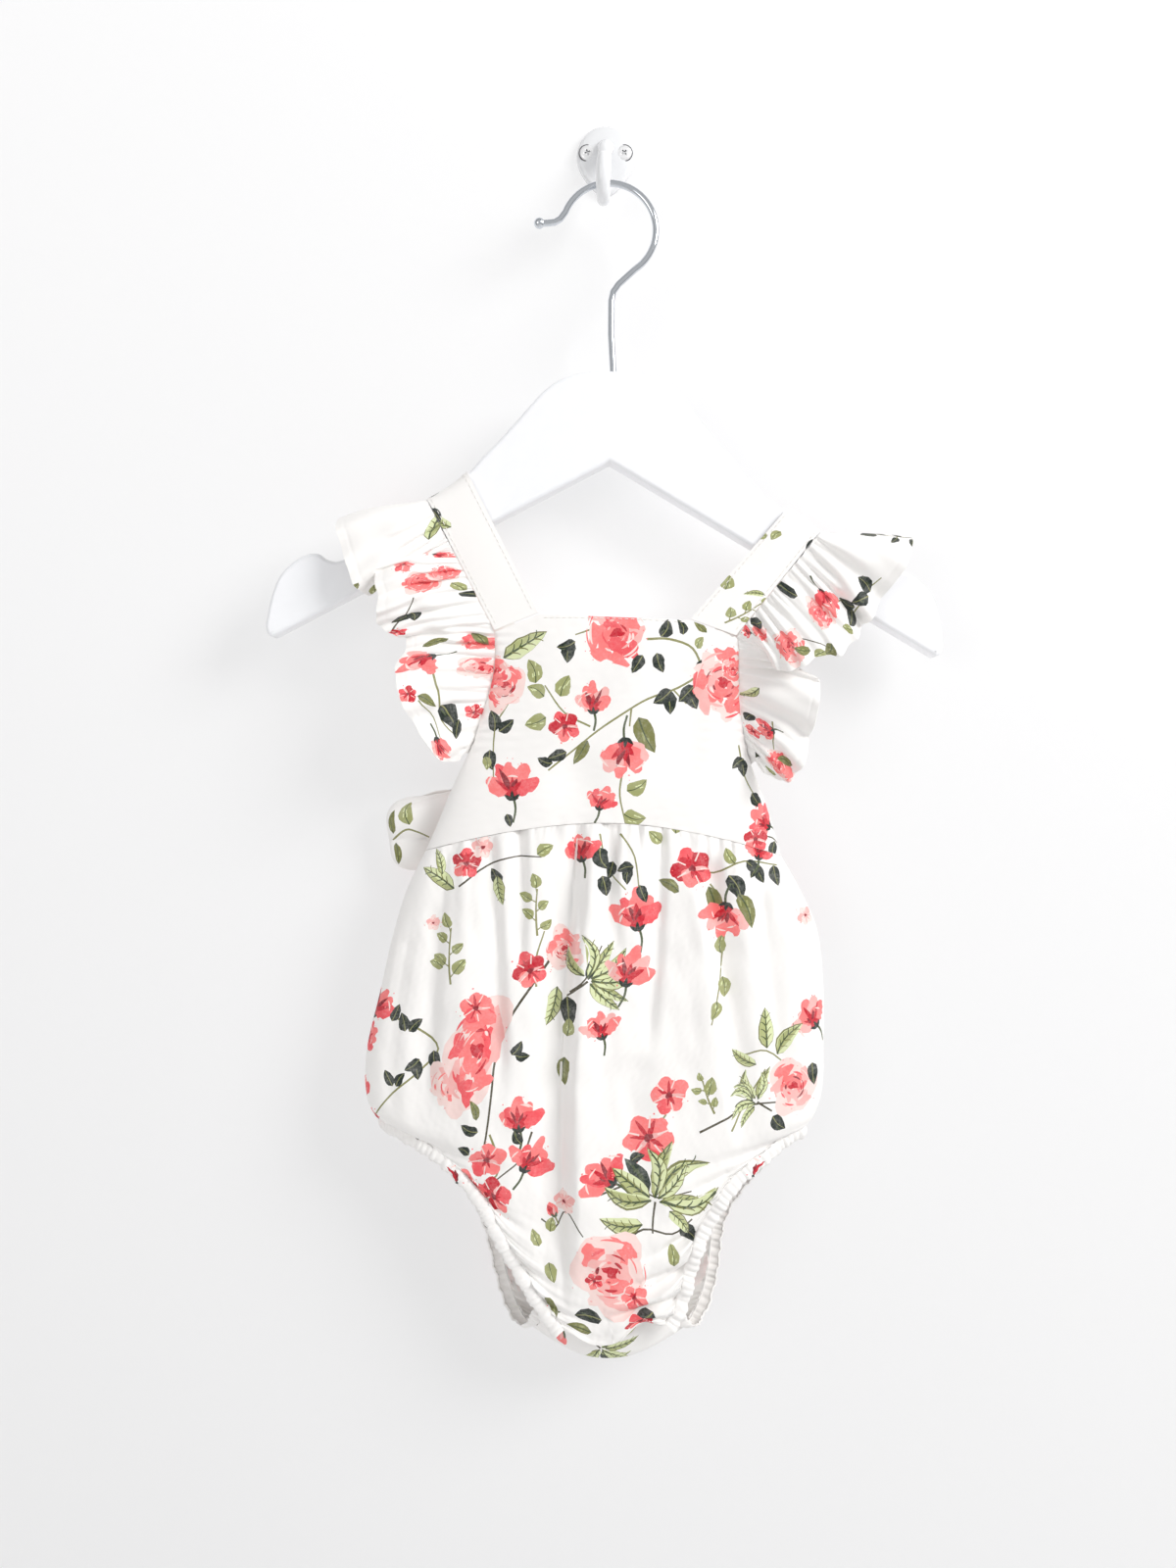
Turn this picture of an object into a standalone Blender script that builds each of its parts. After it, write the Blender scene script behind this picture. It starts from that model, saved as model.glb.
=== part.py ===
"""Baby romper with flutter ruffles, hung on a small hanger from a wall hook.

Frame: metres. The wall is the plane y = 0, the object stands in front of it at
negative y, +Z is up and +X is to the right. The origin is the middle of the hook
plate's flat back. Sizes below are in millimetres: "drop" is the distance below the
origin and "out" is the distance out from the wall.
"""
import math

import bmesh
import bpy
import numpy as np
from mathutils import Vector

MM = 0.001

# ---- holder ---------------------------------------------------------------
PLATE_THICK = 3.2
PLATE_TOP = 13.4
PLATE_FOOT = 16.8
PLATE_HALF_WIDTH = 12.6
SCREW_SPREAD = 8.4
SCREW_HEIGHT = 1.4
SCREW_HEAD = 3.3
PRONG_RADIUS = 3.3
WIRE_RADIUS = 1.5
WIRE_OUT = 24.0
HOOK_RADIUS = 20.8
HOOK_CENTRE_X = 1.1
HOOK_CENTRE_DROP = 41.9
BAR_HALF_THICK = 6.0
BAR_EDGE = 2.5
BAR_TILT = 1.71
BAR_UNDER_SLOPE = 0.558
BAR_APEX_X = 1.3
BAR_APEX_DROP = 145.3

# ---- cloth walls ----------------------------------------------------------
WALL = 1.4
STRAP_WALL = 1.1
RUFFLE_WALL = 1.1
SEAM_GAP = 0.35
CASING_WIDTH = 5.2
FRONT_ROWS = 14
BACK_ROWS = 18

# Upper edge of the hanger's arm: distance from its middle, height over the apex.
BAR_TOP_COLUMNS = ("along", "height")
BAR_TOP = [
    (0.0, 39.8), (10.0, 39.3), (18.0, 37.4), (24.5, 34.4), (31.0, 29.0), (40.0, 18.2),
    (48.5, 8.2), (56.0, 0.0), (61.5, -6.6), (66.0, -10.9), (70.5, -14.6), (77.0, -18.6),
    (84.5, -23.0), (95.0, -29.8), (104.0, -36.4), (109.5, -41.2), (113.5, -45.2),
    (118.0, -47.2), (122.6, -46.4), (126.0, -44.2), (131.0, -44.4), (137.3, -48.1),
    (143.1, -54.6), (146.4, -63.7), (148.2, -74.4), (148.6, -79.0),
]

# Panels: each row is one section across the cloth.
PANEL_COLUMNS = ("mid_drop", "left_drop", "right_drop", "left", "right", "mid_out", "edge_out")

FRONT_BODICE = [
    (214.0, 220.4, 222.6, -48.4, 56.2, 33.8, 31.6),
    (224.0, 229.0, 230.5, -48.1, 57.2, 34.8, 31.0),
    (234.0, 238.5, 240.5, -48.8, 57.5, 35.4, 30.2),
    (244.0, 248.5, 252.0, -51.6, 58.0, 35.8, 29.0),
    (254.0, 258.5, 263.5, -55.0, 59.6, 36.2, 27.4),
    (264.0, 268.5, 273.5, -58.2, 62.0, 36.5, 25.8),
    (274.0, 279.5, 284.0, -63.6, 65.6, 36.8, 24.8),
    (284.0, 291.0, 295.0, -68.8, 69.8, 37.1, 24.5),
    (294.0, 303.0, 306.0, -73.6, 73.2, 37.4, 24.4),
    (303.2, 315.4, 317.8, -79.0, 76.4, 37.8, 24.4),
]
BACK_BODICE = [
    (271.6, 273.0, 275.0, -60.2, 62.4, 15.6, 23.6),
    (281.5, 283.5, 286.0, -65.4, 66.4, 14.8, 23.6),
    (291.0, 294.0, 296.5, -69.8, 70.2, 14.2, 23.6),
    (301.0, 304.5, 307.0, -74.2, 73.6, 13.6, 23.6),
    (310.9, 315.4, 317.8, -79.0, 76.4, 13.2, 23.6),
]
FRONT_SKIRT = [
    (303.8, 316.2, 318.6, -79.4, 76.8, 38.0, 24.4),
    (324.0, 333.0, 334.0, -87.6, 85.4, 40.2, 24.4),
    (349.0, 353.5, 351.0, -93.8, 92.6, 41.8, 24.4),
    (377.0, 378.0, 375.0, -99.4, 95.2, 43.2, 24.4),
    (405.0, 403.0, 401.0, -105.2, 95.3, 44.2, 24.4),
    (430.0, 421.0, 422.0, -105.6, 94.4, 44.8, 24.4),
    (447.0, 432.0, 435.4, -101.2, 88.4, 45.0, 25.4),
    (456.0, 435.4, 440.6, -92.6, 77.4, 45.0, 29.8),
    (465.0, 439.4, 447.4, -82.4, 66.6, 44.9, 33.6),
    (477.0, 448.2, 457.2, -67.2, 53.2, 44.6, 37.6),
    (489.0, 462.8, 469.4, -53.6, 44.4, 44.2, 40.0),
    (501.0, 483.0, 484.0, -42.8, 36.8, 43.4, 41.0),
    (512.0, 497.4, 498.6, -34.6, 32.6, 42.4, 40.8),
    (521.0, 511.6, 510.6, -25.6, 29.4, 41.0, 40.0),
    (528.5, 523.0, 521.4, -18.4, 24.6, 39.6, 39.2),
]
BACK_SKIRT = [
    (311.6, 316.2, 318.6, -79.4, 76.8, 13.0, 23.6),
    (332.0, 333.0, 334.0, -87.6, 85.4, 10.8, 23.6),
    (354.0, 353.5, 351.0, -93.8, 92.6, 9.6, 23.6),
    (380.0, 378.0, 375.0, -99.4, 95.2, 8.8, 23.6),
    (406.0, 403.0, 401.0, -105.2, 95.3, 8.6, 23.6),
    (430.0, 421.0, 422.0, -105.6, 94.4, 8.8, 23.6),
    (447.0, 432.0, 435.4, -101.2, 88.4, 9.2, 22.6),
    (455.0, 436.2, 439.8, -94.0, 80.4, 9.6, 20.0),
    (463.0, 442.6, 446.4, -85.6, 72.6, 9.9, 17.8),
    (476.0, 453.4, 459.6, -73.8, 61.4, 10.2, 15.4),
    (489.0, 465.2, 472.4, -62.2, 52.2, 10.6, 14.2),
    (502.0, 484.0, 485.6, -51.4, 47.2, 11.0, 13.8),
    (513.0, 502.0, 503.0, -45.2, 45.2, 11.6, 14.2),
    (524.0, 514.6, 515.0, -41.2, 42.0, 13.0, 15.6),
    (533.4, 521.6, 522.0, -37.2, 38.0, 16.6, 19.6),
    (538.2, 524.2, 524.6, -33.2, 34.2, 23.2, 25.4),
    (537.0, 522.0, 522.4, -29.4, 31.0, 30.0, 30.6),
    (530.0, 516.0, 516.0, -26.2, 28.0, 34.2, 34.2),
    (520.0, 508.0, 508.0, -23.4, 25.2, 35.8, 35.8),
]

# Soft valleys and ridges that the front cloth falls into.
FOLD_COLUMNS = ("x_top", "x_mid", "x_foot", "drop_top", "drop_foot", "width", "depth")
SKIRT_FOLDS = [
    (-12.5, -19.5, -19.0, 300.0, 528.0, 7.5, 5.4),
    (3.5, -6.0, -6.0, 330.0, 505.0, 10.0, -2.2),
    (41.5, 52.0, 59.0, 318.0, 450.0, 6.5, 4.0),
    (-50.0, -46.5, -45.0, 306.0, 410.0, 6.5, 2.2),
    (-69.0, -73.5, -79.0, 312.0, 440.0, 6.5, 2.0),
    (24.0, 22.0, 16.0, 306.0, 395.0, 6.0, 1.6),
]
BACK_FOLDS = [
    (-30.0, -36.0, -38.0, 312.0, 470.0, 9.0, 3.2),
    (6.0, 2.0, 4.0, 312.0, 505.0, 8.0, 2.6),
    (38.0, 46.0, 50.0, 312.0, 455.0, 8.0, 3.0),
    (-62.0, -70.0, -76.0, 318.0, 430.0, 7.0, 2.2),
]

# Straps: inner and outer corners where they meet the front and back bodice, and
# how far along the hanger each edge crosses it.
STRAP_COLUMNS = ("bar_inner", "bar_outer", "front_inner", "front_outer", "back_inner", "back_outer")
STRAPS = {
    "left": ((-62.4, 0.0), (-79.4, 0.0), (-29.6, 212.6), (-48.4, 220.0), (-36.0, 271.2), (-55.0, 271.4)),
    "right": ((78.6, 0.0), (93.4, 0.0), (36.2, 215.2), (56.0, 222.2), (37.0, 271.3), (56.0, 272.6)),
}
STRAP_RADIUS = 7.8
STRAP_LIFT = 1.8

# Free edge of each ruffle: how far along its seam, then across, out and drop.
RUFFLE_COLUMNS = ("seam", "across", "out", "drop")
RUFFLE_LEFT = [
    (0.000, -64.5, 29.0, 276.0), (0.035, -69.0, 36.0, 277.0), (0.080, -78.0, 42.5, 268.5),
    (0.130, -85.5, 46.0, 256.5), (0.180, -89.5, 46.5, 244.5), (0.225, -90.5, 43.0, 236.0),
    (0.260, -87.0, 37.0, 229.0), (0.300, -87.5, 35.5, 223.5), (0.340, -93.5, 38.0, 221.0),
    (0.380, -98.5, 42.5, 218.5), (0.410, -98.0, 45.0, 212.0), (0.450, -98.0, 45.5, 205.5),
    (0.480, -99.5, 42.0, 197.0), (0.505, -100.0, 36.5, 192.0), (0.525, -99.0, 33.5, 197.0),
    (0.550, -102.0, 35.5, 204.5), (0.585, -108.0, 41.0, 201.5), (0.625, -112.5, 43.0, 190.0),
    (0.670, -117.0, 36.5, 174.5), (0.710, -115.0, 25.0, 170.5), (0.755, -110.0, 13.0, 178.0),
    (0.810, -103.0, 8.0, 192.0), (0.870, -92.0, 7.0, 204.0), (0.930, -79.0, 9.0, 213.0),
    (0.975, -67.0, 13.5, 216.0), (1.000, -62.5, 16.5, 214.0),
]
RUFFLE_RIGHT = [
    (0.000, 66.5, 29.5, 278.0), (0.035, 68.0, 36.0, 281.0), (0.070, 74.5, 41.0, 285.0),
    (0.100, 80.0, 43.0, 284.0), (0.135, 85.5, 42.0, 275.0), (0.170, 87.5, 40.5, 266.0),
    (0.215, 90.5, 43.5, 252.0), (0.255, 91.5, 41.0, 242.5), (0.295, 85.0, 36.5, 237.5),
    (0.335, 76.0, 34.5, 234.5), (0.370, 72.0, 38.5, 235.5), (0.400, 75.5, 44.0, 238.5),
    (0.435, 82.5, 46.5, 236.5), (0.475, 91.0, 46.5, 232.5), (0.520, 99.5, 45.0, 231.0),
    (0.560, 106.0, 40.5, 225.5), (0.595, 110.5, 36.5, 219.5), (0.640, 117.0, 38.5, 210.0),
    (0.690, 126.5, 41.0, 195.5), (0.730, 133.0, 35.5, 182.5), (0.765, 131.0, 24.5, 178.5),
    (0.805, 123.0, 13.0, 184.0), (0.860, 111.0, 8.0, 197.0), (0.920, 95.0, 8.0, 213.0),
    (0.970, 80.0, 12.5, 221.0), (1.000, 73.5, 16.0, 220.0),
]
RUFFLE_BACK_END = 214.0

# Bow behind the waist: how far each loop reaches, its height at its end, and so on.
BOW_KNOT = (-8.0, 6.4, 302.0)
BOW_COLUMNS = ("reach_x", "end_drop", "end_height", "root_height", "near_out", "far_out")
BOW_LOOPS = {
    "left": (-96.5, 308.5, 33.0, 13.0, 9.4, 2.6),
    "right": (60.0, 310.0, 32.0, 13.0, 9.4, 2.6),
}


# ---- small helpers --------------------------------------------------------
def clear_scene():
    for thing in list(bpy.data.objects):
        bpy.data.objects.remove(thing, do_unlink=True)
    for group in list(bpy.data.collections):
        bpy.data.collections.remove(group)


def make_collection(name):
    group = bpy.data.collections.new(name)
    bpy.context.scene.collection.children.link(group)
    return group


def make_material(name, colour, roughness, metallic=0.0):
    material = bpy.data.materials.new(name)
    material.use_nodes = True
    shader = material.node_tree.nodes["Principled BSDF"]
    shader.inputs["Base Color"].default_value = (*colour, 1.0)
    shader.inputs["Roughness"].default_value = roughness
    shader.inputs["Metallic"].default_value = metallic
    material.diffuse_color = (*colour, 1.0)
    return material


def along(values, t):
    """Smooth curve through evenly counted values, t from 0 to 1."""
    last = len(values) - 1
    s = min(max(t, 0.0), 1.0) * last
    i = min(int(s), last - 1)
    f = s - i
    p1 = values[i]
    p2 = values[i + 1]
    p0 = values[i - 1] if i > 0 else 2.0 * p1 - p2
    p3 = values[i + 2] if i + 2 <= last else 2.0 * p2 - p1
    a = -0.5 * p0 + 1.5 * p1 - 1.5 * p2 + 0.5 * p3
    b = p0 - 2.5 * p1 + 2.0 * p2 - 0.5 * p3
    c = -0.5 * p0 + 0.5 * p2
    return ((a * f + b) * f + c) * f + p1


def column(table, columns, name):
    at = columns.index(name)
    return [float(row[at]) for row in table]


def place(x, out, drop):
    """Millimetres across, out from the wall and down, to metres in the frame."""
    return Vector((x * MM, -out * MM, -drop * MM))


def fold_shift(folds, x, drop):
    """How far the cloth sinks back into its valleys at this place."""
    shift = 0.0
    for x_top, x_mid, x_foot, drop_top, drop_foot, width, depth in folds:
        t = (drop - drop_top) / (drop_foot - drop_top)
        if t <= 0.0 or t >= 1.0:
            continue
        centre = along([x_top, x_mid, x_foot], t)
        fade = min(1.0, t / 0.08, (1.0 - t) / 0.22)
        spread = width * (0.65 + 0.5 * t)
        shift += depth * fade * math.exp(-((x - centre) / spread) ** 2)
    return shift


def panel_point(table, u, v, arch, folds, side):
    """One point of a panel: u runs -1 to 1 across it, v runs 0 to 1 down it."""
    take = {}
    for name in PANEL_COLUMNS:
        take[name] = along(column(table, PANEL_COLUMNS, name), v)
    turn = u * math.pi / 2.0
    across = math.copysign(abs(math.sin(turn)) ** 0.92, u)
    rise = max(math.cos(turn), 0.0) ** 0.82
    middle = 0.5 * (take["left"] + take["right"])
    half = 0.5 * (take["right"] - take["left"])
    x = middle + half * across
    edge_drop = take["left_drop"] if u < 0.0 else take["right_drop"]
    drop = take["mid_drop"] + (edge_drop - take["mid_drop"]) * abs(across) ** arch
    out = take["edge_out"] + (take["mid_out"] - take["edge_out"]) * rise
    sink = fold_shift(folds, x, drop) * rise
    out -= side * sink
    return x, out, drop


def neck_line(x, drop, v):
    """Square neckline: straight between the straps, stepping down under them."""
    if v > 0.35:
        return drop
    left_in = STRAPS["left"][2]
    left_out = STRAPS["left"][3]
    right_in = STRAPS["right"][2]
    right_out = STRAPS["right"][3]
    if x < left_in[0]:
        t = (x - left_out[0]) / (left_in[0] - left_out[0])
        top = left_out[1] + (left_in[1] - left_out[1]) * t
    elif x > right_in[0]:
        t = (x - right_in[0]) / (right_out[0] - right_in[0])
        top = right_in[1] + (right_out[1] - right_in[1]) * t
    else:
        t = (x - left_in[0]) / (right_in[0] - left_in[0])
        top = left_in[1] + (right_in[1] - left_in[1]) * t
    weight = 1.0 - v / 0.35
    return drop + (top + SEAM_GAP - drop) * weight * weight


def front_bodice_point(u, v):
    x, out, drop = panel_point(FRONT_BODICE, u, v, 1.8, [], 1.0)
    drop = neck_line(x, drop, v)
    dent = 1.6 * math.exp(-((x + 14.0) / 12.0) ** 2 - ((drop - 285.0) / 16.0) ** 2)
    return x, out - dent, drop


def back_bodice_point(u, v):
    return panel_point(BACK_BODICE, u, v, 1.8, [], -1.0)


def front_skirt_point(u, v):
    arch = 1.8 + 0.6 * v
    x, out, drop = panel_point(FRONT_SKIRT, u, v, arch, SKIRT_FOLDS, 1.0)
    gather = 0.8 * math.exp(-v / 0.10) * math.sin(x * 0.42)
    lift = 8.0 * math.exp(-((x - 14.0) / 9.0) ** 2) * max(0.0, (v - 0.86) / 0.14)
    return x, out + gather * math.cos(u * 1.4), drop - lift


def back_skirt_point(u, v):
    arch = 1.8 + 0.4 * v
    x, out, drop = panel_point(BACK_SKIRT, u, v, arch, BACK_FOLDS, -1.0)
    gather = 0.7 * math.exp(-v / 0.09) * math.sin(x * 0.42 + 1.0)
    return x, out + gather * math.cos(u * 1.4), drop


def bar_height(along_bar):
    """Height of the hanger's upper edge over its apex, this far from its middle."""
    reach = abs(along_bar)
    spots = column(BAR_TOP, BAR_TOP_COLUMNS, "along")
    highs = column(BAR_TOP, BAR_TOP_COLUMNS, "height")
    return float(np.interp(reach, spots, highs))


def tilt_bar(along_bar, height):
    """Hanger's own lay-out to across and drop, leaning a little to the right."""
    lean = math.radians(BAR_TILT)
    x = BAR_APEX_X + along_bar * math.cos(lean) + height * math.sin(lean)
    drop = BAR_APEX_DROP + along_bar * math.sin(lean) - height * math.cos(lean)
    return x, drop


def strap_point(side, s, w):
    """s runs 0 at the front bodice, over the bar, to 1 at the back; w across it."""
    bar_in, bar_out, front_in, front_out, back_in, back_out = STRAPS[side]
    place_on_bar = bar_in[0] + (bar_out[0] - bar_in[0]) * w
    top_x, top_drop = tilt_bar(place_on_bar, bar_height(place_on_bar) + STRAP_LIFT)
    foot_x = front_in[0] + (front_out[0] - front_in[0]) * w
    foot_drop = front_in[1] + (front_out[1] - front_in[1]) * w
    back_x = back_in[0] + (back_out[0] - back_in[0]) * w
    back_drop = back_in[1] + (back_out[1] - back_in[1]) * w
    reach = math.hypot(foot_x - top_x, foot_drop - top_drop)
    down_x = (foot_x - top_x) / reach
    down_z = (foot_drop - top_drop) / reach
    hub_x = top_x + STRAP_RADIUS * down_x
    hub_drop = top_drop + STRAP_RADIUS * down_z
    if s < 0.36:
        t = s / 0.36
        x = foot_x + (hub_x - foot_x) * t
        drop = foot_drop + (hub_drop - foot_drop) * t
        out = 33.0 + (WIRE_OUT + STRAP_RADIUS - 33.0) * min(1.0, t * 1.6)
        return x, out, drop
    if s < 0.52:
        turn = (s - 0.36) / 0.16 * math.pi
        up = max(math.sin(turn), 0.0) ** 0.66
        fore = math.copysign(abs(math.cos(turn)) ** 0.66, math.cos(turn))
        x = hub_x - STRAP_RADIUS * down_x * up
        drop = hub_drop - STRAP_RADIUS * down_z * up
        return x, WIRE_OUT + STRAP_RADIUS * fore, drop
    t = (s - 0.52) / 0.48
    length = back_drop - hub_drop
    slope = down_x / down_z * length * 0.8
    h1 = 2 * t ** 3 - 3 * t ** 2 + 1
    h2 = t ** 3 - 2 * t ** 2 + t
    h3 = -2 * t ** 3 + 3 * t ** 2
    x = hub_x * h1 + slope * h2 + back_x * h3
    drop = hub_drop + length * t
    out = WIRE_OUT - STRAP_RADIUS + (18.4 - WIRE_OUT + STRAP_RADIUS) * t * t
    return x, out, drop


def ruffle_seam(side):
    """The line a ruffle is sewn along: up the armhole edge, the strap, and over."""
    sign = -1.0 if side == "left" else 1.0
    line = []
    for k in range(13):
        v = 0.60 * (1.0 - k / 12.0)
        x, out, drop = front_bodice_point(sign, v)
        line.append((x + sign * 1.9, out + 0.4, drop))
    for k in range(1, 41):
        s = 0.02 + 0.72 * k / 40.0
        x, out, drop = strap_point(side, s, 1.0)
        if s > 0.52 and drop > RUFFLE_BACK_END:
            break
        nx, nout, ndrop = strap_point(side, s, 0.97)
        away = Vector((x - nx, out - nout, drop - ndrop)).normalized()
        line.append((x + away.x * 1.2, out, drop + away.z * 1.2))
    points = np.array(line)
    steps = np.linalg.norm(np.diff(points, axis=0), axis=1)
    run = np.concatenate([[0.0], np.cumsum(steps)])
    return points, run / run[-1]


def ruffle_point(side, seam, table, s, w):
    points, run = seam
    fraction = along(column(table, RUFFLE_COLUMNS, "seam"), s)
    fraction = min(max(fraction, 0.0), 1.0)
    root = [float(np.interp(fraction, run, points[:, k])) for k in range(3)]
    tip = []
    for name in RUFFLE_COLUMNS[1:]:
        tip.append(along(column(table, RUFFLE_COLUMNS, name), s))
    ease = w ** 0.88
    x = root[0] + (tip[0] - root[0]) * ease
    out = root[1] + (tip[1] - root[1]) * ease
    drop = root[2] + (tip[2] - root[2]) * ease
    swell = 1.8 * math.sin(math.pi * w)
    return x, out + swell * math.tanh((out - WIRE_OUT) / 4.0), drop - 0.8 * swell


# ---- builders -------------------------------------------------------------
def finish_mesh(name, bm, group, material, smooth=True):
    bmesh.ops.recalc_face_normals(bm, faces=bm.faces)
    mesh = bpy.data.meshes.new(name)
    bm.to_mesh(mesh)
    bm.free()
    for face in mesh.polygons:
        face.use_smooth = smooth
    thing = bpy.data.objects.new(name, mesh)
    thing.data.materials.append(material)
    group.objects.link(thing)
    return thing


def cloth(name, point, across, down, u_range, v_range, wall, group, material):
    """A sewn piece: its middle surface as a grid, given its wall by Solidify."""
    bm = bmesh.new()
    rows = []
    for j in range(down + 1):
        v = v_range[0] + (v_range[1] - v_range[0]) * j / down
        row = []
        for i in range(across + 1):
            u = u_range[0] + (u_range[1] - u_range[0]) * i / across
            row.append(bm.verts.new(place(*point(u, v))))
        rows.append(row)
    for j in range(down):
        for i in range(across):
            bm.faces.new((rows[j][i], rows[j][i + 1], rows[j + 1][i + 1], rows[j + 1][i]))
    thing = finish_mesh(name, bm, group, material)
    shell = thing.modifiers.new("Cloth wall", "SOLIDIFY")
    shell.thickness = wall * MM
    shell.offset = 0.0
    shell.use_even_offset = False
    shell.use_rim = True
    return thing


def ring_solid(name, rings, group, material, smooth=True, paired=False):
    """A solid lofted through rings of equal count, with flat closed ends.

    A paired ring runs out along one edge and back along the other, so its ends
    are closed by a strip from edge to edge.
    """
    bm = bmesh.new()
    laid = []
    for ring in rings:
        laid.append([bm.verts.new(Vector(p) * MM) for p in ring])
    count = len(rings[0])
    for a, b in zip(laid[:-1], laid[1:]):
        for k in range(count):
            n = (k + 1) % count
            bm.faces.new((a[k], a[n], b[n], b[k]))
    if paired:
        for ring in (laid[0], laid[-1]):
            for k in range(count // 2 - 1):
                bm.faces.new((ring[k], ring[k + 1], ring[count - 2 - k], ring[count - 1 - k]))
    else:
        bm.faces.new(laid[0])
        bm.faces.new(list(reversed(laid[-1])))
    return finish_mesh(name, bm, group, material, smooth)


def inset_outline(outline, amount):
    """Move a closed flat outline inwards along its corner directions."""
    count = len(outline)
    moved = []
    for k in range(count):
        before = Vector(outline[k - 1])
        here = Vector(outline[k])
        after = Vector(outline[(k + 1) % count])
        d1 = (here - before).normalized()
        d2 = (after - here).normalized()
        n1 = Vector((-d1.y, d1.x))
        n2 = Vector((-d2.y, d2.x))
        mean = (n1 + n2).normalized()
        reach = min(amount / max(mean.dot(n1), 0.55), amount * 1.6)
        moved.append(here + mean * reach)
    return moved


def bored(thing, cutter, how="DIFFERENCE"):
    cut = thing.modifiers.new("Cut " + cutter.name, "BOOLEAN")
    cut.operation = how
    cut.solver = "EXACT"
    cut.object = cutter
    cutter.hide_render = True
    cutter.display_type = "WIRE"


# ---- holder ---------------------------------------------------------------
def build_wall_hook(group, cutters, white, steel):
    outline = []
    count = 40
    for k in range(count):
        turn = 2.0 * math.pi * k / count
        side = math.sin(turn)
        up = math.cos(turn)
        high = PLATE_TOP if up > 0.0 else PLATE_FOOT
        pinch = 1.0 if up > 0.0 else 1.0 - 0.34 * abs(up) ** 1.6
        outline.append((-PLATE_HALF_WIDTH * side * pinch, high * up))
    rings = []
    for out, share in ((0.0, 1.0), (1.6, 1.0), (2.5, 0.965), (PLATE_THICK, 0.88), (3.9, 0.64), (4.3, 0.34)):
        rings.append([(x * share, -out, (z + 0.6) * share - 0.6) for x, z in outline])
    plate = ring_solid("wall_hook", rings, group, white)

    path = [
        (-0.2, 1.6, 3.4), (-0.2, 4.6, 2.8), (-0.4, 9.0, -0.4), (-0.7, 12.8, -6.4),
        (-0.9, 15.6, -14.0), (-1.1, 18.4, -22.0), (-1.3, 21.6, -26.8), (-1.4, 26.0, -28.4),
        (-1.5, 30.6, -27.2), (-1.6, 33.8, -23.4), (-1.7, 35.4, -18.0), (-1.7, 35.8, -14.6),
    ]
    sizes = [3.9, 3.7, 3.4, 3.3, 3.2, 3.2, 3.2, 3.2, 3.3, 3.4, 3.2, 2.2]
    rings = []
    for k, (x, out, z) in enumerate(path):
        before = path[max(k - 1, 0)]
        after = path[min(k + 1, len(path) - 1)]
        run = Vector((0.0, -(after[1] - before[1]), after[2] - before[2])).normalized()
        side = Vector((1.0, 0.0, 0.0))
        up = run.cross(side)
        ring = []
        for m in range(14):
            turn = 2.0 * math.pi * m / 14
            spot = Vector((x, -out, z)) + (side * math.cos(turn) + up * math.sin(turn)) * sizes[k]
            ring.append(tuple(spot))
        rings.append(ring)
    prong = ring_solid("prong_body", rings, cutters, white)
    bored(plate, prong, "UNION")

    for name, sign in (("left", -1.0), ("right", 1.0)):
        x = sign * SCREW_SPREAD
        hole = lathe("screw_hole_" + name, [(-1.0, 2.0), (1.2, 2.0), (2.4, 3.6), (6.0, 3.6)],
                     x, SCREW_HEIGHT, cutters, steel, 20)
        bored(plate, hole)
        screw = lathe("screw_" + name, [(0.5, 1.55), (1.5, 1.6), (2.7, 3.2), (3.7, 3.2), (4.3, 2.3), (4.5, 0.9)],
                      x, SCREW_HEIGHT, group, steel, 20)
        for m in range(2):
            lean = math.radians(18.0 + 90.0 * m)
            bpy.ops.mesh.primitive_cube_add(size=1.0, location=(x * MM, -4.6 * MM, SCREW_HEIGHT * MM))
            slot = bpy.context.object
            slot.name = "screw_slot_%s_%d" % (name, m)
            slot.scale = (3.4 * MM, 2.0 * MM, 0.7 * MM)
            slot.rotation_euler = (0.0, lean, 0.0)
            for holder in list(slot.users_collection):
                holder.objects.unlink(slot)
            cutters.objects.link(slot)
            slot.data.materials.append(steel)
            bored(screw, slot)


def lathe(name, profile, x, z, group, material, count):
    """A turned solid on an axis straight out from the wall."""
    rings = []
    for out, radius in profile:
        ring = []
        for k in range(count):
            turn = 2.0 * math.pi * k / count
            ring.append((x + radius * math.cos(turn), -out, z + radius * math.sin(turn)))
        rings.append(ring)
    return ring_solid(name, rings, group, material)


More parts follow.
